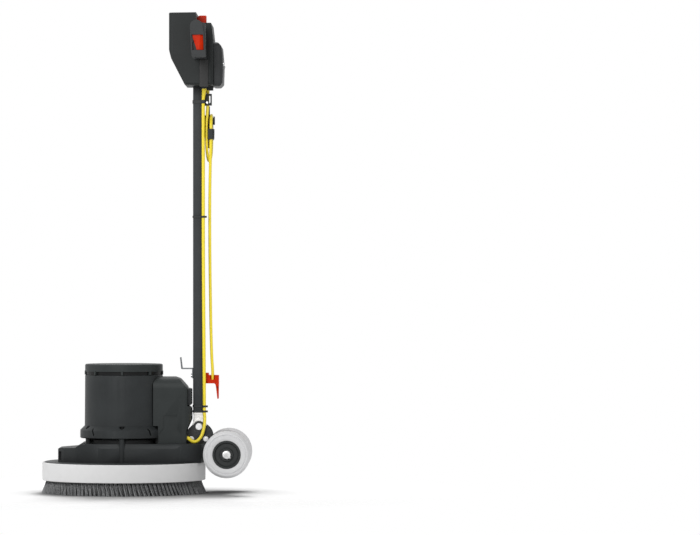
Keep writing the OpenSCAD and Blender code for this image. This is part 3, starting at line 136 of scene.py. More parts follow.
class StageSettings(bpy.types.PropertyGroup):
    """Camera and light"""
    distance: FloatProperty(
        name="Camera distance", description="From the camera to the middle of the machine",
        subtype="DISTANCE", unit="LENGTH", default=11.792)
    height: FloatProperty(
        name="Camera height", description="Height of the camera over the floor", subtype="DISTANCE",
        unit="LENGTH", default=0.6025)
    side: FloatProperty(
        name="Camera offset", description="Place of the camera along the machine", subtype="DISTANCE",
        unit="LENGTH", default=0.54775)
    lens: FloatProperty(
        name="Lens", description="Focal length in millimetres for a 36 mm wide sensor", default=226.286)
    daylight: FloatProperty(name="Daylight", description="Strength of the light from all round", default=0.5)
    floor_white: FloatProperty(
        name="Floor paper", description="How much light the camera sees on the paper", default=0.51)
    floor_lamp: FloatProperty(
        name="Floor light", description="Power of the lamp behind the machine, which lights only the paper",
        subtype="POWER", unit="POWER", default=480.0)
    key: FloatProperty(
        name="Key light", description="Power of the large lamp", subtype="POWER", unit="POWER", default=64.0)


# Helpers for node trees

def add(tree, kind, settings=None, inputs=None):
    """Adds a node with its settings. Each input, by name or number, is a value or a socket to link."""
    made = tree.nodes.new(kind)
    for name, value in (settings or {}).items():
        setattr(made, name, value)
    for key, value in (inputs or {}).items():
        if isinstance(value, bpy.types.NodeSocket):
            tree.links.new(value, made.inputs[key])
        else:
            made.inputs[key].default_value = value
    return made


def new_material(name, colour, roughness, metallic=0.0, **sockets):
    """A material with one Principled shader, and its tree, shader and object coordinates."""
    material = bpy.data.materials.new(name)
    material.use_nodes = True
    material.diffuse_color = (*colour, 1.0)
    tree = material.node_tree
    shader = tree.nodes["Principled BSDF"]
    shader.inputs["Base Color"].default_value = (*colour, 1.0)
    shader.inputs["Roughness"].default_value = roughness
    shader.inputs["Metallic"].default_value = metallic
    for key, value in sockets.items():
        shader.inputs[key.replace("_", " ")].default_value = value
    place = add(tree, "ShaderNodeTexCoord").outputs["Object"]
    return material, tree, shader, place


def scaled(colour, factor):
    return tuple(min(1.0, c * factor) for c in colour)


def between(tree, factor, low, high, start=0.0, end=1.0):
    """A colour that goes from low to high as factor goes from start to end."""
    ramp = add(tree, "ShaderNodeValToRGB", None, {0: factor})
    ramp.color_ramp.elements[0].position = start
    ramp.color_ramp.elements[0].color = (*low, 1.0)
    ramp.color_ramp.elements[1].position = end
    ramp.color_ramp.elements[1].color = (*high, 1.0)
    return ramp.outputs["Color"]


def tones(tree, place, size, detail, colour, dark, light):
    """A colour in cloudy tones, from its dark to its light share, with clouds about size metres across."""
    cloud = add(tree, "ShaderNodeTexNoise", None, {"Vector": place, "Scale": 1 / size, "Detail": detail})
    return between(tree, cloud.outputs["Fac"], scaled(colour, dark), scaled(colour, light), 0.3, 0.7)


def skin(tree, shader, place, size, detail, sheen, depth, strength):
    """Grains about size metres across and depth metres high, with a roughness between the two of sheen."""
    grain = add(tree, "ShaderNodeTexNoise", None, {"Vector": place, "Scale": 1 / size, "Detail": detail})
    fac = grain.outputs["Fac"]
    gloss = add(tree, "ShaderNodeMapRange", None, {0: fac, 3: sheen[0], 4: sheen[1]})
    bump = add(tree, "ShaderNodeBump", None, {"Height": fac, "Distance": depth, "Strength": strength})
    tree.links.new(gloss.outputs[0], shader.inputs["Roughness"])
    tree.links.new(bump.outputs["Normal"], shader.inputs["Normal"])


def paint(tree, shader, colour):
    tree.links.new(colour, shader.inputs["Base Color"])


def overlay(tree, shader, mask, colour):
    """Lays a plain colour over the shader's colour where the mask is 1."""
    under = shader.inputs["Base Color"].links[0].from_socket
    # Inputs 6 and 7 and output 2 of this node are its colours
    mixed = add(tree, "ShaderNodeMix", {"data_type": "RGBA"}, {0: mask, 6: under, 7: (*colour, 1.0)})
    paint(tree, shader, mixed.outputs[2])


# Finishes

def painted_hollow_shade(tree, colour, reach, share):
    """Painted shade: darkens a colour where other surfaces stand closer than reach, as shade falls in
    corners.
    """
    free = add(tree, "ShaderNodeAmbientOcclusion", {"samples": 8}, {"Distance": reach}).outputs["AO"]
    kept = add(tree, "ShaderNodeMapRange", None,
               {0: free, 1: 0.35, 2: 0.95, 3: 1 - share, 4: 1.0}).outputs[0]
    return add(tree, "ShaderNodeVectorMath", {"operation": "SCALE"}, {0: colour, "Scale": kept}).outputs[0]


def powder_coat(name, colour, roughness=0.5):
    """Powder coat on cast metal: baked polyester with a fine orange peel, a low sheen and painted shade in
    its hollows.
    """
    material, tree, shader, place = new_material(name, colour, roughness, Specular_IOR_Level=0.2)
    coat = tones(tree, place, 60 * MM, 2.0, colour, 0.88, 1.14)
    # Painted shade darkens the coat in its corners and hollows
    paint(tree, shader, painted_hollow_shade(tree, coat, 50 * MM, 0.75))
    skin(tree, shader, place, 2.4 * MM, 3.0, (roughness - 0.08, roughness + 0.1), 0.18 * MM, 0.5)
    return material


def neck_shade_paint(name, colour, neck):
    """Powder coat that is nearly black above a height: painted shade on the neck in the gap under the cap.
    """
    material = powder_coat(name, colour)
    tree = material.node_tree
    place = add(tree, "ShaderNodeTexCoord").outputs["Object"]
    height = add(tree, "ShaderNodeSeparateXYZ", None, {0: place}).outputs["Z"]
    above = add(tree, "ShaderNodeMath", {"operation": "GREATER_THAN"}, {0: height, 1: neck}).outputs[0]
    # Painted shade: the neck in the gap that the cap shades is painted nearly black
    overlay(tree, tree.nodes["Principled BSDF"], above, scaled(colour, 0.12))
    return material


def moulded_shell(name, colour, roughness=0.52, shine=0.22):
    """Moulded ABS: spark-eroded grain, drawn at 1.4 mm so that it shows, and a soft even sheen."""
    material, tree, shader, place = new_material(name, colour, roughness, Specular_IOR_Level=shine)
    paint(tree, shader, tones(tree, place, 45 * MM, 2.0, colour, 0.92, 1.1))
    skin(tree, shader, place, 1.4 * MM, 4.0, (roughness - 0.06, roughness + 0.08), 0.12 * MM, 0.45)
    return material


def ducted_shell(name, colour, duct):
    """A moulded shell with a lighter insert where it stands proud of the flat sides of the head."""
    material = moulded_shell(name, colour)
    tree = material.node_tree
    place = add(tree, "ShaderNodeTexCoord").outputs["Object"]
    sideways = add(tree, "ShaderNodeSeparateXYZ", None, {0: place}).outputs["Y"]
    across = add(tree, "ShaderNodeMath", {"operation": "ABSOLUTE"}, {0: sideways}).outputs[0]
    proud = add(tree, "ShaderNodeMath", {"operation": "GREATER_THAN"}, {0: across, 1: HEAD_HALF + 0.3 * MM})
    overlay(tree, tree.nodes["Principled BSDF"], proud.outputs[0], duct)
    return material


def red_plastic(name, colour):
    """Moulded red ABS: smooth from the tool, glossier than the shells, with slight flow marks."""
    material, tree, shader, place = new_material(name, colour, 0.4, Specular_IOR_Level=0.12)
    paint(tree, shader, tones(tree, place, 12 * MM, 2.0, colour, 0.9, 1.06))
    skin(tree, shader, place, 1.8 * MM, 2.0, (0.34, 0.48), 0.05 * MM, 0.4)
    return material


def bumper_rubber(name, colour):
    """Thermoplastic rubber: pale, dull and slightly mottled, as it comes from an extruder."""
    material, tree, shader, place = new_material(name, colour, 0.62)
    paint(tree, shader, tones(tree, place, 18 * MM, 3.0, colour, 0.985, 1.01))
    skin(tree, shader, place, 2.2 * MM, 2.0, (0.55, 0.7), 0.08 * MM, 0.4)
    return material


def filament(name, colour):
    """Extruded polypropylene: grey filaments with a dull shine; the rings behind the outer one get painted
    shade.
    """
    material, tree, shader, place = new_material(name, colour, 0.5, Specular_IOR_Level=0.3)
    noise = add(tree, "ShaderNodeTexNoise", None, {"Vector": place, "Scale": 1 / (2.6 * MM), "Detail": 2.0})
    strands = noise.outputs["Fac"]
    from_axis = add(tree, "ShaderNodeVectorMath", {"operation": "SUBTRACT"},
                    {0: place, 1: (BRUSH_X, 0.0, 0.0)}).outputs[0]
    level = add(tree, "ShaderNodeVectorMath", {"operation": "MULTIPLY"},
                {0: from_axis, 1: (1.0, 1.0, 0.0)}).outputs[0]
    radius = add(tree, "ShaderNodeVectorMath", {"operation": "LENGTH"}, {0: level}).outputs["Value"]
    height = add(tree, "ShaderNodeSeparateXYZ", None, {0: place}).outputs["Z"]
    # The radius plus 0.38 of the height tells the leaning outer ring from the rings behind it, which are
    # painted darker as shade
    upright = add(tree, "ShaderNodeMath", {"operation": "MULTIPLY_ADD"},
                  {0: height, 1: 0.38, 2: radius}).outputs[0]
    # Painted shade: the rings behind the outer ring keep 0.2 of their colour
    inner_ring_shade = add(tree, "ShaderNodeMapRange", None,
                  {0: upright, 1: 0.208, 2: 0.2155, 3: 0.2, 4: 1.0}).outputs[0]
    shade = between(tree, strands, scaled(colour, 0.6), scaled(colour, 1.4), 0.35, 0.65)
    shaded_strands = add(tree, "ShaderNodeVectorMath", {"operation": "SCALE"}, {0: shade, "Scale": inner_ring_shade})
    gloss = add(tree, "ShaderNodeMapRange", None, {0: strands, 3: 0.42, 4: 0.58})
    paint(tree, shader, shaded_strands.outputs[0])
    tree.links.new(gloss.outputs[0], shader.inputs["Roughness"])
    return material


def cable_sheath(name, colour):
    """Soft PVC sheath: smooth and slightly waxy, with faint ribs from the strands inside."""
    material, tree, shader, place = new_material(name, colour, 0.4)
    wax = add(tree, "ShaderNodeTexNoise", None,
              {"Vector": place, "Scale": 1 / (9 * MM), "Detail": 2.0}).outputs["Fac"]
    ribs = add(tree, "ShaderNodeTexNoise", None,
               {"Vector": place, "Scale": 1 / (5 * MM), "Detail": 2.0}).outputs["Fac"]
    gloss = add(tree, "ShaderNodeMapRange", None, {0: wax, 3: 0.34, 4: 0.48})
    bump = add(tree, "ShaderNodeBump", None, {"Height": ribs, "Distance": 0.03 * MM, "Strength": 0.3})
    paint(tree, shader, between(tree, wax, scaled(colour, 0.97), scaled(colour, 1.02), 0.3, 0.7))
    tree.links.new(gloss.outputs[0], shader.inputs["Roughness"])
    tree.links.new(bump.outputs["Normal"], shader.inputs["Normal"])
    return material


def cast_aluminium(name, colour):
    """Tumbled sand-cast aluminium: bright, with a coarse skin and dull hollows."""
    material, tree, shader, place = new_material(name, colour, 0.42, 1.0)
    paint(tree, shader, tones(tree, place, 1.8 * MM, 5.0, colour, 0.72, 1.08))
    skin(tree, shader, place, 1.8 * MM, 5.0, (0.34, 0.56), 0.25 * MM, 0.6)
    return material


def plated_steel(name, colour, roughness=0.3):
    """Bright zinc plate on turned or bent steel: light, with a fine grain and a cloudy gleam."""
    material, tree, shader, place = new_material(name, colour, roughness, 1.0)
    paint(tree, shader, tones(tree, place, 7 * MM, 3.0, colour, 0.84, 1.06))
    skin(tree, shader, place, 0.9 * MM, 3.0, (roughness - 0.08, roughness + 0.12), 0.04 * MM, 0.4)
    return material


def speckled_paint(name, colour):
    """Hammer-finish paint on flame-cut plate: black with small pale flecks where metal shows through."""
    material, tree, shader, place = new_material(name, colour, 0.48)
    flecks = add(tree, "ShaderNodeTexVoronoi", {"feature": "F1"}, {"Vector": place, "Scale": 1 / (3.4 * MM)})
    paint(tree, shader, between(tree, flecks.outputs["Distance"], scaled(colour, 5.5), colour, 0.1, 0.26))
    skin(tree, shader, place, 3.2 * MM, 3.0, (0.38, 0.6), 0.3 * MM, 0.6)
    return material


def varnished_windings(name, colour):
    """Enamelled copper wire set in varnish: reddish brown, glossy and banded by the turns."""
    material, tree, shader, place = new_material(name, colour, 0.35, 0.6)
    turns = add(tree, "ShaderNodeTexWave", {"bands_direction": "Z"},
                {"Vector": place, "Scale": 1 / (14 * MM), "Distortion": 1.5}).outputs["Fac"]
    bump = add(tree, "ShaderNodeBump", None, {"Height": turns, "Distance": 0.3 * MM, "Strength": 0.6})
    paint(tree, shader, between(tree, turns, scaled(colour, 0.6), scaled(colour, 1.15)))
    tree.links.new(bump.outputs["Normal"], shader.inputs["Normal"])
    return material


FINISHES = {}


def make_finishes():
    """Makes every finish once, from the colours in the panel."""
    colours = bpy.context.scene.machine_finishes
    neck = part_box("motor_housing")[1][2] - SHADED_NECK_H
    # Painted shade: the head takes the shell colour darkened to 0.6, against the light that falls full on it
    # from the front
    head = scaled(tuple(colours.shell), 0.6)
    FINISHES.update({
        "black_paint": powder_coat("powder_coat_black", tuple(colours.paint)),
        "motor_paint_neck_shade": neck_shade_paint("powder_coat_motor", tuple(colours.paint), neck),
        "black_plastic": moulded_shell("moulded_abs_black", tuple(colours.shell)),
        "head_plastic_shaded": ducted_shell("moulded_abs_head", head, linear("313131")),
        "dark_plastic": moulded_shell("moulded_polyamide_dark", tuple(colours.grip), 0.48),
        "grip_plastic": moulded_shell("moulded_polyamide_grip", tuple(colours.grip), 0.36, 0.17),
        "wheel_plastic": moulded_shell("moulded_polypropylene_black", linear("303232"), 0.42),
        "red_plastic": red_plastic("moulded_abs_red", tuple(colours.red)),
        "grey_rubber": bumper_rubber("thermoplastic_rubber_grey", tuple(colours.bumper)),
        "grey_tyre": bumper_rubber("cast_polyurethane_grey", tuple(colours.tyre)),
        "bristle": filament("polypropylene_filament", tuple(colours.bristle)),
        "yellow_cable": cable_sheath("soft_pvc_yellow", tuple(colours.cable)),
        "cast_aluminium": cast_aluminium("cast_aluminium", linear("e2e0dd")),
        "mast_paint": powder_coat("powder_coat_mast", linear("383b3d")),
        "capacitor_can": plated_steel("drawn_aluminium_can", linear("d4d5d8"), 0.25),
        "zinc_steel": plated_steel("zinc_plated_steel", linear("e0e0e0")),
        "dull_steel": plated_steel("phosphated_steel", linear("6c6f72"), 0.5),
        "gear_steel": plated_steel("ground_gear_steel", linear("a9abae"), 0.24),
        "stator_core": varnished_windings("varnished_copper", linear("b0683a")),
        "speckled_paint": speckled_paint("hammered_paint_black", linear("1b1d1e")),
    })


# Helpers for pieces

def repaint(node, finish=None):
    """Gives a node of the solid model its finish, in its own material slot."""
    solid = frame["nodes"][node]
    material = FINISHES[finish or NODE_SLOT[node]]
    if not solid.material_slots:
        solid.data.materials.append(material)
    for slot in solid.material_slots:
        slot.link = "OBJECT"
        slot.material = material


def as_piece(name, data, body, slot, *nodes):
    """A finished mesh or curve as a piece that rides on a body and stands for nodes of the solid model."""
    piece = bpy.data.objects.new(name, data)
    bpy.context.scene.collection.objects.link(piece)
    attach(piece, body)
    if nodes:
        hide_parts(*nodes)
    return piece


def soften(node, radius, finish=None):
    """Copies a node of the solid model, closes its mesh and rounds its edges."""
    mesh = frame["nodes"][node].data.copy()
    mesh.name = f"{node}_soft"
    shape = bmesh.new()
    shape.from_mesh(mesh)
    bmesh.ops.remove_doubles(shape, verts=shape.verts, dist=0.01 * MM)
    bmesh.ops.dissolve_limit(
        shape, angle_limit=math.radians(1.0), verts=shape.verts, edges=shape.edges,
        use_dissolve_boundaries=False)
    shape.to_mesh(mesh)
    shape.free()
    mesh.materials.clear()
    mesh.materials.append(FINISHES[finish or NODE_SLOT[node]])
    mesh.shade_smooth()
    mesh.set_sharp_from_angle(angle=EDGE_ANGLE)
    piece = as_piece(f"{node}_finished", mesh, NODE_BODY[node], NODE_SLOT[node], node)
    bevel = piece.modifiers.new("rounded edges", "BEVEL")
    bevel.width = radius
    bevel.segments = EDGE_STEPS
    bevel.limit_method = "ANGLE"
    bevel.angle_limit = EDGE_ANGLE
    bevel.harden_normals = True
    bevel.use_clamp_overlap = True
    return piece


def cord_curve(name, points, radius, widths=None):
    """A round cord as a curve of one open spline. Each width scales the radius at its point."""
    curve = bpy.data.curves.new(name, "CURVE")
    curve.dimensions = "3D"
    curve.bevel_depth = radius
    curve.bevel_resolution = 4
    curve.resolution_u = 10
    curve.use_fill_caps = True
    line = curve.splines.new("BEZIER")
    line.bezier_points.add(len(points) - 1)
    for knot, point, width in zip(line.bezier_points, points, widths or [1.0] * len(points)):
        knot.co = point
        knot.radius = width
        knot.handle_left_type = "AUTO"
        knot.handle_right_type = "AUTO"
    curve.materials.append(FINISHES["yellow_cable"])
    return curve


def cord_mesh(name, points, radius, widths=None):
    """The same cord as a closed mesh."""
    host = bpy.data.objects.new(name, cord_curve(name, points, radius, widths))
    bpy.context.scene.collection.objects.link(host)
    bpy.context.view_layer.update()
    mesh = bpy.data.meshes.new_from_object(host.evaluated_get(bpy.context.evaluated_depsgraph_get()))
    bpy.data.objects.remove(host)
    mesh.shade_smooth()
    return mesh


def stretch(route, first, last, count):
    """Evenly spaced points on a route, from the first to the last distance along it, in millimetres."""
    points = []
    for i in range(count):
        left = first + (last - first) * i / (count - 1)
        for here, there in zip(route, route[1:]):
            here, there = Vector(here), Vector(there)
            length = (there - here).length
            if left <= length:
                points.append(here.lerp(there, left / length))
                break
            left -= length
    return points


def from_brush(route):
    """Turns a route in millimetres, counted from the brush axis, into points in metres."""
    return [Vector((x * MM + BRUSH_X, y * MM, z * MM)) for x, y, z in route]


# Routes in millimetres, with X counted from the brush axis, and the radii of what follows them
CORD_R = 4.0
LEAD_R = 4.3
LEAD_LOOP = [
    (170.5, -60, 148), (172.5, -60, 147.7), (176, -60, 146.2), (180, -60, 142.8), (185, -59.5, 139.2),
    (190.5, -59, 137.8), (196.5, -58, 139.2), (202.5, -56, 143.8), (208.2, -54, 151.2), (212.4, -52, 161),
    (215.4, -49.6, 173), (217.3, -45.6, 186), (217.8, -40.6, 198), (217.2, -36.2, 208),
    (216.6, -34.5, 213.5), (216.6, -34.5, 218)]
POWER_LEAD = [
    (216.6, -34.5, 218.2), (216.6, -34.5, 240), (216.3, -34.5, 300), (215.9, -34.5, 360),
    (215.1, -34.5, 460), (214.4, -34.5, 560), (213.9, -34.5, 660), (213.8, -34.5, 730),
    (213.8, -34.5, 746), (213.8, -34.5, 860), (213.7, -34.5, 940), (213.6, -34.5, 1000),
    (213.6, -34.5, 1036), (213.7, -34.5, 1052),
    (214.5, -36.1, 1062), (216, -38.4, 1074), (216.4, -39, 1082), (216.4, -39, 1091)]
MAINS_CORD = [
    (225, -19, 1091), (225, -19, 1082), (225, -19, 1067), (225, -19, 1036), (223.8, -20.6, 1016),
    (222.4, -23, 996), (222, -24.4, 972), (222, -24.4, 946), (222.6, -22.6, 925), (224, -17, 907),
    (225.6, -8.5, 895), (227.4, 3, 888.8), (229.4, 14.5, 889.5), (231.2, 25, 896), (232.6, 33, 907),
    (233.4, 37.4, 922), (234, 39, 940), (234.3, 39.2, 958), (234.4, 38.9, 973), (234.4, 34.6, 990.3),
    (234.4, 23.2, 1003.2), (234.4, 8.4, 1009.3), (234.4, -6.9, 1008.8), (234.4, -21.7, 1001.3),
    (234.4, -31.4, 988.6), (234.4, -34.9, 973), (234.2, -35.2, 955), (233.8, -34.2, 934),
    (233, -31.6, 904), (232, -27, 866), (231, -21, 818), (230.4, -15.5, 758), (230.3, -11, 690),
    (230.8, -8, 610), (232, -7.5, 520), (233.6, -9, 430), (236, -11.6, 358), (237.8, -13, 330),
    (238.2, -13, 312), (238.2, -13, 296.4)]

# Strain reliefs: name, route from the housing, first and last distance along it, widest and narrowest
# radius, node of the gland
RELIEFS = [
    ("box_strain_relief", LEAD_LOOP, 0.6, 23.0, 5.6, 4.6, "box_gland"),
    ("lead_strain_relief", POWER_LEAD[::-1], 0.5, 31.0, 8.4, 4.9, "head_glands"),
    ("cord_strain_relief", MAINS_CORD, 3.0, 23.2, 7.0, 4.7, "head_glands"),
]

# Rings of tufts: radius at the tips, radius at the backing, number of tufts
TUFT_RINGS = [(221.4, 202, 112), (204, 189, 84), (186, 175, 68), (168, 162, 56)]
# The middle of a tuft ends this far inside the tip radius of its ring
TIP_INSET = 0.6


def group_input(tree, name, kind, value):
    """Adds a named input to a geometry tree, and returns its identifier."""
    socket = tree.interface.new_socket(name=name, in_out="INPUT", socket_type=kind)
    if value is not None:
        socket.default_value = value
    return socket.identifier


def bristle_tree():
    """A ring of tufts: filaments on a grid, tufts on a circle, each leaning outwards."""
    tree = bpy.data.node_groups.new("Bristle ring", "GeometryNodeTree")
    tree.is_modifier = True
    tree.interface.new_socket(name="Geometry", in_out="INPUT", socket_type="NodeSocketGeometry")
    inputs = {
        "Tufts": ("NodeSocketInt", 160),
        "Root radius": ("NodeSocketFloat", 0.2),
        "Tip radius": ("NodeSocketFloat", 0.22),
        "Height": ("NodeSocketFloat", 0.044),
        "Tuft width": ("NodeSocketFloat", 0.0044),
        "Per side": ("NodeSocketInt", 4),
        "Filament width": ("NodeSocketFloat", 0.0009),
        "Spread": ("NodeSocketFloat", 0.05),
        "Seed": ("NodeSocketInt", 3),
        "Material": ("NodeSocketMaterial", None),
    }
    ids = {name: group_input(tree, name, kind, value) for name, (kind, value) in inputs.items()}
    tree.interface.new_socket(name="Geometry", in_out="OUTPUT", socket_type="NodeSocketGeometry")
    sizes = add(tree, "NodeGroupInput").outputs
    lean = add(tree, "ShaderNodeMath", {"operation": "SUBTRACT"},
               {0: sizes["Tip radius"], 1: sizes["Root radius"]})
    drop = add(tree, "ShaderNodeMath", {"operation": "MULTIPLY"}, {0: sizes["Height"], 1: -1.0})
    tip = add(tree, "ShaderNodeCombineXYZ", None, {"X": lean.outputs[0], "Z": drop.outputs[0]})
    line = add(tree, "GeometryNodeCurvePrimitiveLine", None, {"End": tip.outputs[0]})
    cut = add(tree, "GeometryNodeResampleCurve", None, {"Curve": line.outputs[0], "Count": 3})
    half = add(tree, "ShaderNodeMath", {"operation": "MULTIPLY"}, {0: sizes["Filament width"], 1: 0.5})
    profile = add(tree, "GeometryNodeCurvePrimitiveCircle", None,
                  {"Resolution": 4, "Radius": half.outputs[0]})
    strand = add(tree, "GeometryNodeCurveToMesh", None,
                 {"Curve": cut.outputs[0], "Profile Curve": profile.outputs[0], "Fill Caps": True})
    grid = add(tree, "GeometryNodeMeshGrid", None, {
        "Size X": sizes["Tuft width"], "Size Y": sizes["Tuft width"],
        "Vertices X": sizes["Per side"], "Vertices Y": sizes["Per side"]})
    less = add(tree, "ShaderNodeMath", {"operation": "MULTIPLY"}, {0: sizes["Spread"], 1: -1.0})
    low = add(tree, "ShaderNodeCombineXYZ", None, {"X": less.outputs[0], "Y": less.outputs[0]})
    high = add(tree, "ShaderNodeCombineXYZ", None, {"X": sizes["Spread"], "Y": sizes["Spread"], "Z": 3.0})
    tilt = add(tree, "FunctionNodeRandomValue", {"data_type": "FLOAT_VECTOR"},
               {0: low.outputs[0], 1: high.outputs[0], "Seed": sizes["Seed"]})
    tuft = add(tree, "GeometryNodeInstanceOnPoints", None, {
        "Points": grid.outputs["Mesh"], "Instance": strand.outputs[0], "Rotation": tilt.outputs[0]})
    whole_tuft = add(tree, "GeometryNodeRealizeInstances", None, {0: tuft.outputs[0]})
    ring = add(tree, "GeometryNodeMeshCircle", None,
               {"Vertices": sizes["Tufts"], "Radius": sizes["Root radius"]})
    half_step = add(tree, "ShaderNodeMath", {"operation": "DIVIDE"}, {0: math.pi, 1: sizes["Tufts"]})
    turn = add(tree, "ShaderNodeCombineXYZ", None, {"Z": half_step.outputs[0]})
    places = add(tree, "GeometryNodeTransform", None,
                 {"Geometry": ring.outputs[0], "Rotation": turn.outputs[0]})
    outward = add(tree, "FunctionNodeAlignRotationToVector", {"axis": "X"},
                  {"Vector": add(tree, "GeometryNodeInputPosition").outputs[0]})
    tufts = add(tree, "GeometryNodeInstanceOnPoints", None, {
        "Points": places.outputs[0], "Instance": whole_tuft.outputs[0], "Rotation": outward.outputs[0]})
    whole = add(tree, "GeometryNodeRealizeInstances", None, {0: tufts.outputs[0]})
    # The tips stray more than the roots, by up to 0.11 of their depth, in waves about 10 mm across
    place = add(tree, "GeometryNodeInputPosition").outputs[0]
    noise = add(tree, "ShaderNodeTexNoise", {"noise_dimensions": "3D"}, {"Vector": place, "Scale": 95.0})
    middle = add(tree, "ShaderNodeVectorMath", {"operation": "SUBTRACT"},
                 {0: noise.outputs["Color"], 1: (0.5, 0.5, 0.5)})
    depth = add(tree, "ShaderNodeSeparateXYZ", None, {0: place}).outputs["Z"]
    share = add(tree, "ShaderNodeMath", {"operation": "MULTIPLY"}, {0: depth, 1: -0.22})
    stray = add(tree, "ShaderNodeVectorMath", {"operation": "SCALE"},
                {0: middle.outputs[0], "Scale": share.outputs[0]})
    strayed = add(tree, "GeometryNodeSetPosition", None,
                  {"Geometry": whole.outputs[0], "Offset": stray.outputs[0]})
    # The tips are cut flat at the floor
    spot = add(tree, "ShaderNodeSeparateXYZ", None, {0: add(tree, "GeometryNodeInputPosition").outputs[0]})
    level = add(tree, "ShaderNodeMath", {"operation": "MAXIMUM"}, {0: spot.outputs["Z"], 1: drop.outputs[0]})
    cut_off = add(tree, "ShaderNodeCombineXYZ", None,
                  {"X": spot.outputs["X"], "Y": spot.outputs["Y"], "Z": level.outputs[0]})
    flat = add(tree, "GeometryNodeSetPosition", None,
               {"Geometry": strayed.outputs[0], "Position": cut_off.outputs[0]})
    dressed = add(tree, "GeometryNodeSetMaterial", None,
                  {"Geometry": flat.outputs[0], "Material": sizes["Material"]})
    add(tree, "NodeGroupOutput", None, {0: dressed.outputs[0]})
    return tree, ids


def grown(tree, ids, values):
    """Runs a geometry tree with its inputs set, and returns the result as a plain mesh."""
    host = bpy.data.objects.new("host", bpy.data.meshes.new("host"))
    bpy.context.scene.collection.objects.link(host)
    modifier = host.modifiers.new("tree", "NODES")
    modifier.node_group = tree
    for name, value in values.items():
        modifier[ids[name]] = value
    bpy.context.view_layer.update()
    evaluated = host.evaluated_get(bpy.context.evaluated_depsgraph_get())
    mesh = bpy.data.meshes.new_from_object(evaluated)
    host.modifiers.remove(modifier)
    bpy.data.objects.remove(host)
    return mesh


class MACHINE_OT_brush(bpy.types.Operator):
    """Make the brush: its backing and its four rings of tufts"""
    bl_idname = "machine.brush"
    bl_label = "Brush"

    def execute(self, context):
        sizes = context.scene.machine_bristles
        tree, ids = bristle_tree()
        joined = bmesh.new()
        for number, (tip, root, count) in enumerate(TUFT_RINGS):
            mesh = grown(tree, ids, {
                "Tufts": count, "Root radius": root * MM, "Tip radius": (tip - TIP_INSET) * MM,
                "Height": sizes.height, "Tuft width": sizes.tuft_width, "Per side": sizes.per_side,
                "Filament width": sizes.filament_width, "Spread": sizes.spread, "Seed": number + 3,
                "Material": FINISHES["bristle"]})
            joined.from_mesh(mesh)
            bpy.data.meshes.remove(mesh)
        for vertex in joined.verts:
            vertex.co.x += BRUSH_X
            vertex.co.z += sizes.height
        strands = bpy.data.meshes.new("bristles")
        joined.to_mesh(strands)
        joined.free()
        strands.materials.append(FINISHES["bristle"])
        as_piece("bristles", strands, "brush", "bristle",
                 "bristles_front_left", "bristles_front_right", "bristles_rear_left", "bristles_rear_right")
        self.backing()
        repaint("coupling_plate")
        return {"FINISHED"}

    def backing(self):
        """The drilled block that the tufts stand in, down to the roots of the tufts."""
        outline = [(60, 44), (204, 44), (205, 45), (205, 61), (202, 64), (60, 64)]
        mesh = turned(outline, 96, "brush_backing")
        mesh.materials.append(FINISHES["dark_plastic"])
        as_piece("brush_backing", mesh, "brush", "dark_plastic", "brush_block")


def turned(outline, steps, name):
    """A closed ring turned round the brush axis from an outline of radius and height in millimetres."""
    shape = bmesh.new()
    rings = []
    for i in range(steps):
        a = 2 * math.pi * i / steps
        rings.append([shape.verts.new((BRUSH_X + r * MM * math.cos(a), r * MM * math.sin(a), z * MM))
                      for r, z in outline])
    for i in range(steps):
        here, there = rings[i], rings[(i + 1) % steps]
        for k in range(len(outline)):
            m = (k + 1) % len(outline)
            shape.faces.new((here[k], there[k], there[m], here[m]))
    bmesh.ops.recalc_face_normals(shape, faces=shape.faces)
    mesh = bpy.data.meshes.new(name)
    shape.to_mesh(mesh)
    shape.free()
    mesh.shade_smooth()
    mesh.set_sharp_from_angle(angle=EDGE_ANGLE)
    return mesh


class MACHINE_OT_cords(bpy.types.Operator):
    """Make the mains cord, the motor lead and its loop"""
    bl_idname = "machine.cords"
    bl_label = "Cords"

    def execute(self, context):
        route = from_brush(MAINS_CORD)
        curve = cord_curve("mains_cord_sheath", route, CORD_R * MM)
        cord = as_piece("mains_cord_sheath", curve, "mast", "yellow_cable", "mains_cord")
        lead = cord_curve("power_lead_sheath", from_brush(POWER_LEAD), LEAD_R * MM)
        as_piece("power_lead_sheath", lead, "mast", "yellow_cable", "power_lead")
        self.loop()
        self.strain_reliefs()
        return {"FINISHED"}

    def loop(self):
        """The loop at the pivot."""
        mesh = cord_mesh("lead_loop_sheath", from_brush(LEAD_LOOP), LEAD_R * MM)
        piece = bpy.data.objects.new("lead_loop_sheath", mesh)
        bpy.context.scene.collection.objects.link(piece)
        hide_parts("lead_loop")
        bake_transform(piece)

    def strain_reliefs(self):
        """Ribbed sleeves that taper down to the cord where it leaves a housing."""
        for name, route, first, last, wide, narrow, gland in RELIEFS:
            path = from_brush(stretch(route, first, last, 15))
            steps = len(path) - 1
            widths = [(wide + (narrow - wide) * (i / steps) ** 0.7) - (0.5 if i % 2 else 0.0)
                      for i in range(len(path))]
            mesh = cord_mesh(name, path, MM, widths)
            as_piece(name, mesh, NODE_BODY[gland], "yellow_cable")


# Nodes whose edges are rounded, by the size that they take
SOFTENED = {
    "casting": ["deck", "motor_foot", "motor_housing", "apron", "mast_foot"],
    "shell": ["motor_cap", "electrics_box", "head_front", "head_rear", "switch_cover", "upper_cord_hook"],
    "fitting": ["side_plate_left", "side_plate_right", "plate_bolts", "pivot_bolt", "axle_caps",
                "tank_bracket", "lower_cord_hook", "cord_clip", "box_vent", "box_gland", "head_glands",
                "grip_left", "grip_right", "trigger_left", "trigger_right", "start_button", "mast_tube"],
}
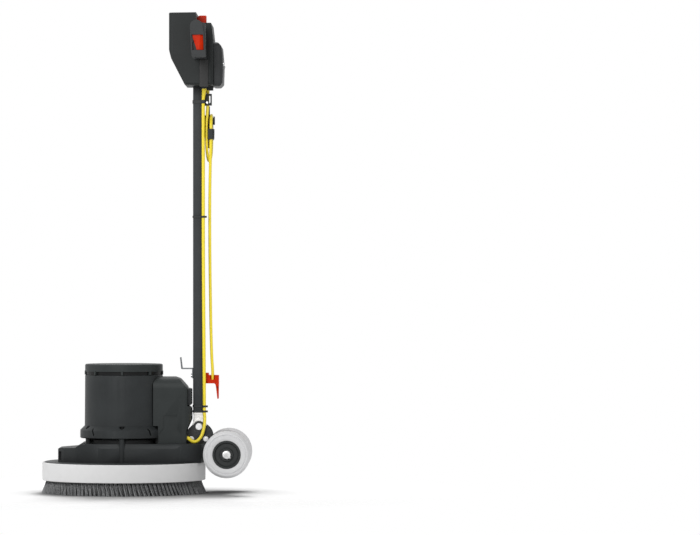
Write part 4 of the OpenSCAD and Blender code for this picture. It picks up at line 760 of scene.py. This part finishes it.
# Nodes whose finish differs from the one named for their slot
OTHER_FINISH = {"side_plate_left": "speckled_paint", "side_plate_right": "speckled_paint",
                "tank_bracket": "dull_steel", "mast_tube": "mast_paint",
                "motor_housing": "motor_paint_neck_shade", "head_front": "head_plastic_shaded", "head_rear": "head_plastic_shaded",
                "grip_left": "grip_plastic", "grip_right": "grip_plastic"}
# Nodes that keep the mesh of the solid model
PLAIN = ["bumper_ring", "ring_gear", "bearings", "foot_bolts", "cap_screws", "stator", "capacitors", "axle",
         "rotor_shaft", "cooling_fan", "sun_gear", "planet_carrier", "planet_gear_1", "planet_gear_2",
         "planet_gear_3", "tyre_left", "tyre_right", "hub_left", "hub_right", "cable_ties", "mast_screws",
         "microswitches"]


class MACHINE_OT_castings(bpy.types.Operator):
    """Finish the rigid pieces with rounded edges"""
    bl_idname = "machine.castings"
    bl_label = "Rigid pieces"

    def execute(self, context):
        sizes = context.scene.machine_edges
        for kind, nodes in SOFTENED.items():
            for node in nodes:
                soften(node, getattr(sizes, kind), OTHER_FINISH.get(node))
        for node in PLAIN:
            repaint(node)
        self.spring()
        return {"FINISHED"}

    def spring(self):
        """The start button's spring, as a piece with a mesh of its own."""
        mesh = frame["nodes"]["button_spring"].data.copy()
        mesh.name = "start_spring"
        mesh.materials.clear()
        mesh.materials.append(FINISHES["zinc_steel"])
        piece = as_piece("start_spring", mesh, "mast", NODE_SLOT["button_spring"], "button_spring")
        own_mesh(piece)


# Lamps: name, place, width of the square, share of the key light's power
LAMPS = [
    ("key", (-0.9, -3.5, 2.2), 1.8, 1.2),
    ("side", (-3.2, -0.6, 2.1), 1.6, 0.26),
    ("back", (-0.3, 1.6, 3.4), 1.6, 0.6),
]
AIM = (0.0, 0.0, 0.3)

# Paper: half its width, its tone in the light that it throws back, how near the machine darkens it, and
# where it starts and ends to fade into the white background
PAPER_HALF = 30.0
PAPER_TONE = 0.46
SHADE_REACH = 0.3
FADE_START = 0.4
FADE_END = 0.95


class MACHINE_OT_stage(bpy.types.Operator):
    """Set up the floor, the light and the camera"""
    bl_idname = "machine.stage"
    bl_label = "Stage"

    def execute(self, context):
        settings = context.scene.machine_stage
        self.camera(context, settings)
        floor = self.floor(context, settings)
        self.world(context, settings)
        self.lamps(context, settings, floor)
        context.scene.view_settings.view_transform = "Standard"
        return {"FINISHED"}

    def camera(self, context, settings):
        data = bpy.data.cameras.new("camera")
        data.sensor_width = 36.0
        data.lens = settings.lens
        data.clip_end = 60.0
        camera = bpy.data.objects.new("camera", data)
        context.scene.collection.objects.link(camera)
        camera.location = (settings.side, -settings.distance, settings.height)
        camera.rotation_euler = (math.pi / 2, 0.0, 0.0)
        context.scene.camera = camera

    def floor(self, context, settings):
        mesh = bpy.data.meshes.new("floor")
        half = PAPER_HALF
        corners = [(-half, -half, 0), (half, -half, 0), (half, half, 0), (-half, half, 0)]
        mesh.from_pydata(corners, [], [(0, 1, 2, 3)])
        floor = bpy.data.objects.new("floor", mesh)
        context.scene.collection.objects.link(floor)
        material = bpy.data.materials.new("white_paper")
        material.use_nodes = True
        tree = material.node_tree
        tree.nodes.clear()
        seen = self.seen(tree)
        paper = add(tree, "ShaderNodeBsdfDiffuse", None, {"Color": (*[PAPER_TONE] * 3, 1.0)})
        # The paper darkens a little more where the machine hides the sky from it
        open_sky = add(tree, "ShaderNodeAmbientOcclusion", {"samples": 8},
                       {"Distance": SHADE_REACH}).outputs["AO"]
        lit = add(tree, "ShaderNodeMath", {"operation": "MULTIPLY"},
                  {0: open_sky, 1: settings.floor_white}).outputs[0]
        bright = add(tree, "ShaderNodeBsdfDiffuse", None, {"Color": lit})
        # Away from the machine the paper fades into the white background
        place = add(tree, "ShaderNodeTexCoord").outputs["Object"]
        away = add(tree, "ShaderNodeVectorMath", {"operation": "LENGTH"}, {0: place}).outputs["Value"]
        faded = add(tree, "ShaderNodeMapRange", {"interpolation_type": "SMOOTHSTEP"},
                    {0: away, 1: FADE_START, 2: FADE_END}).outputs[0]
        # From below the paper doesn't hide the machine
        below = add(tree, "ShaderNodeNewGeometry").outputs["Backfacing"]
        unseen = add(tree, "ShaderNodeMath", {"operation": "MAXIMUM"}, {0: faded, 1: below}).outputs[0]
        clear = add(tree, "ShaderNodeBsdfTransparent")
        shown = add(tree, "ShaderNodeMixShader", None,
                    {0: unseen, 1: bright.outputs[0], 2: clear.outputs[0]})
        mixed = add(tree, "ShaderNodeMixShader", None, {0: seen, 1: paper.outputs[0], 2: shown.outputs[0]})
        add(tree, "ShaderNodeOutputMaterial", None, {"Surface": mixed.outputs[0]})
        mesh.materials.append(material)
        return floor

    def seen(self, tree):
        """1 for what the camera sees, also through or in a shiny surface."""
        path = add(tree, "ShaderNodeLightPath")
        shiny = add(tree, "ShaderNodeMath", {"operation": "MAXIMUM"},
                    {0: path.outputs["Is Glossy Ray"], 1: path.outputs["Is Transmission Ray"]})
        return add(tree, "ShaderNodeMath", {"operation": "MAXIMUM"},
                   {0: path.outputs["Is Camera Ray"], 1: shiny.outputs[0]}).outputs[0]

    def world(self, context, settings):
        world = bpy.data.worlds.new("daylight")
        context.scene.world = world
        world.use_nodes = True
        tree = world.node_tree
        tree.nodes.clear()
        seen = self.seen(tree)
        light = add(tree, "ShaderNodeBackground", None, {"Strength": settings.daylight})
        white = add(tree, "ShaderNodeBackground", None, {"Color": (1.0, 1.0, 1.0, 1.0), "Strength": 1.0})
        mixed = add(tree, "ShaderNodeMixShader", None, {0: seen, 1: light.outputs[0], 2: white.outputs[0]})
        add(tree, "ShaderNodeOutputWorld", None, {"Surface": mixed.outputs[0]})

    def lamps(self, context, settings, floor):
        for name, place, size, share in LAMPS:
            self.lamp(context, name, place, size, share * settings.key)
        # The shadow in front of the brush comes from a lamp behind, which lights the paper alone
        low = self.lamp(context, "floor", (0.35, 3.5, 3.6), 2.0, settings.floor_lamp)
        only_floor = bpy.data.collections.new("floor only")
        only_floor.objects.link(floor)
        low.light_linking.receiver_collection = only_floor

    def lamp(self, context, name, place, size, power):
        data = bpy.data.lights.new(name, "AREA")
        data.size = size
        data.energy = power
        lamp = bpy.data.objects.new(name, data)
        context.scene.collection.objects.link(lamp)
        lamp.location = place
        lamp.rotation_euler = (Vector(AIM) - Vector(place)).to_track_quat("-Z", "Y").to_euler()
        return lamp


class MACHINE_PT_panel(bpy.types.Panel):
    """Lists the steps that dress the machine, with their settings"""
    bl_idname = "MACHINE_PT_panel"
    bl_label = "Floor machine"
    bl_space_type = "VIEW_3D"
    bl_region_type = "UI"
    bl_category = "Floor machine"

    def draw(self, context):
        for step in STEPS:
            self.layout.operator(step.bl_idname)
        for group in SETTINGS:
            box = self.layout.box()
            settings = getattr(context.scene, group)
            for name in settings.bl_rna.properties.keys():
                if name not in ("rna_type", "name"):
                    box.prop(settings, name)


SETTINGS = {
    "machine_finishes": FinishSettings,
    "machine_bristles": BristleSettings,
    "machine_edges": EdgeSettings,
    "machine_stage": StageSettings,
}
STEPS = [MACHINE_OT_stage, MACHINE_OT_cords, MACHINE_OT_castings, MACHINE_OT_brush]
CLASSES = [*SETTINGS.values(), *STEPS, MACHINE_PT_panel]


def register():
    for item in CLASSES:
        bpy.utils.register_class(item)
    for name, group in SETTINGS.items():
        setattr(bpy.types.Scene, name, PointerProperty(type=group))


def unregister():
    for name in SETTINGS:
        delattr(bpy.types.Scene, name)
    for item in reversed(CLASSES):
        bpy.utils.unregister_class(item)


def main():
    register()
    make_finishes()
    bpy.ops.machine.stage()
    bpy.ops.machine.cords()
    bpy.ops.machine.castings()
    bpy.ops.machine.brush()


if __name__ == "__main__":
    main()
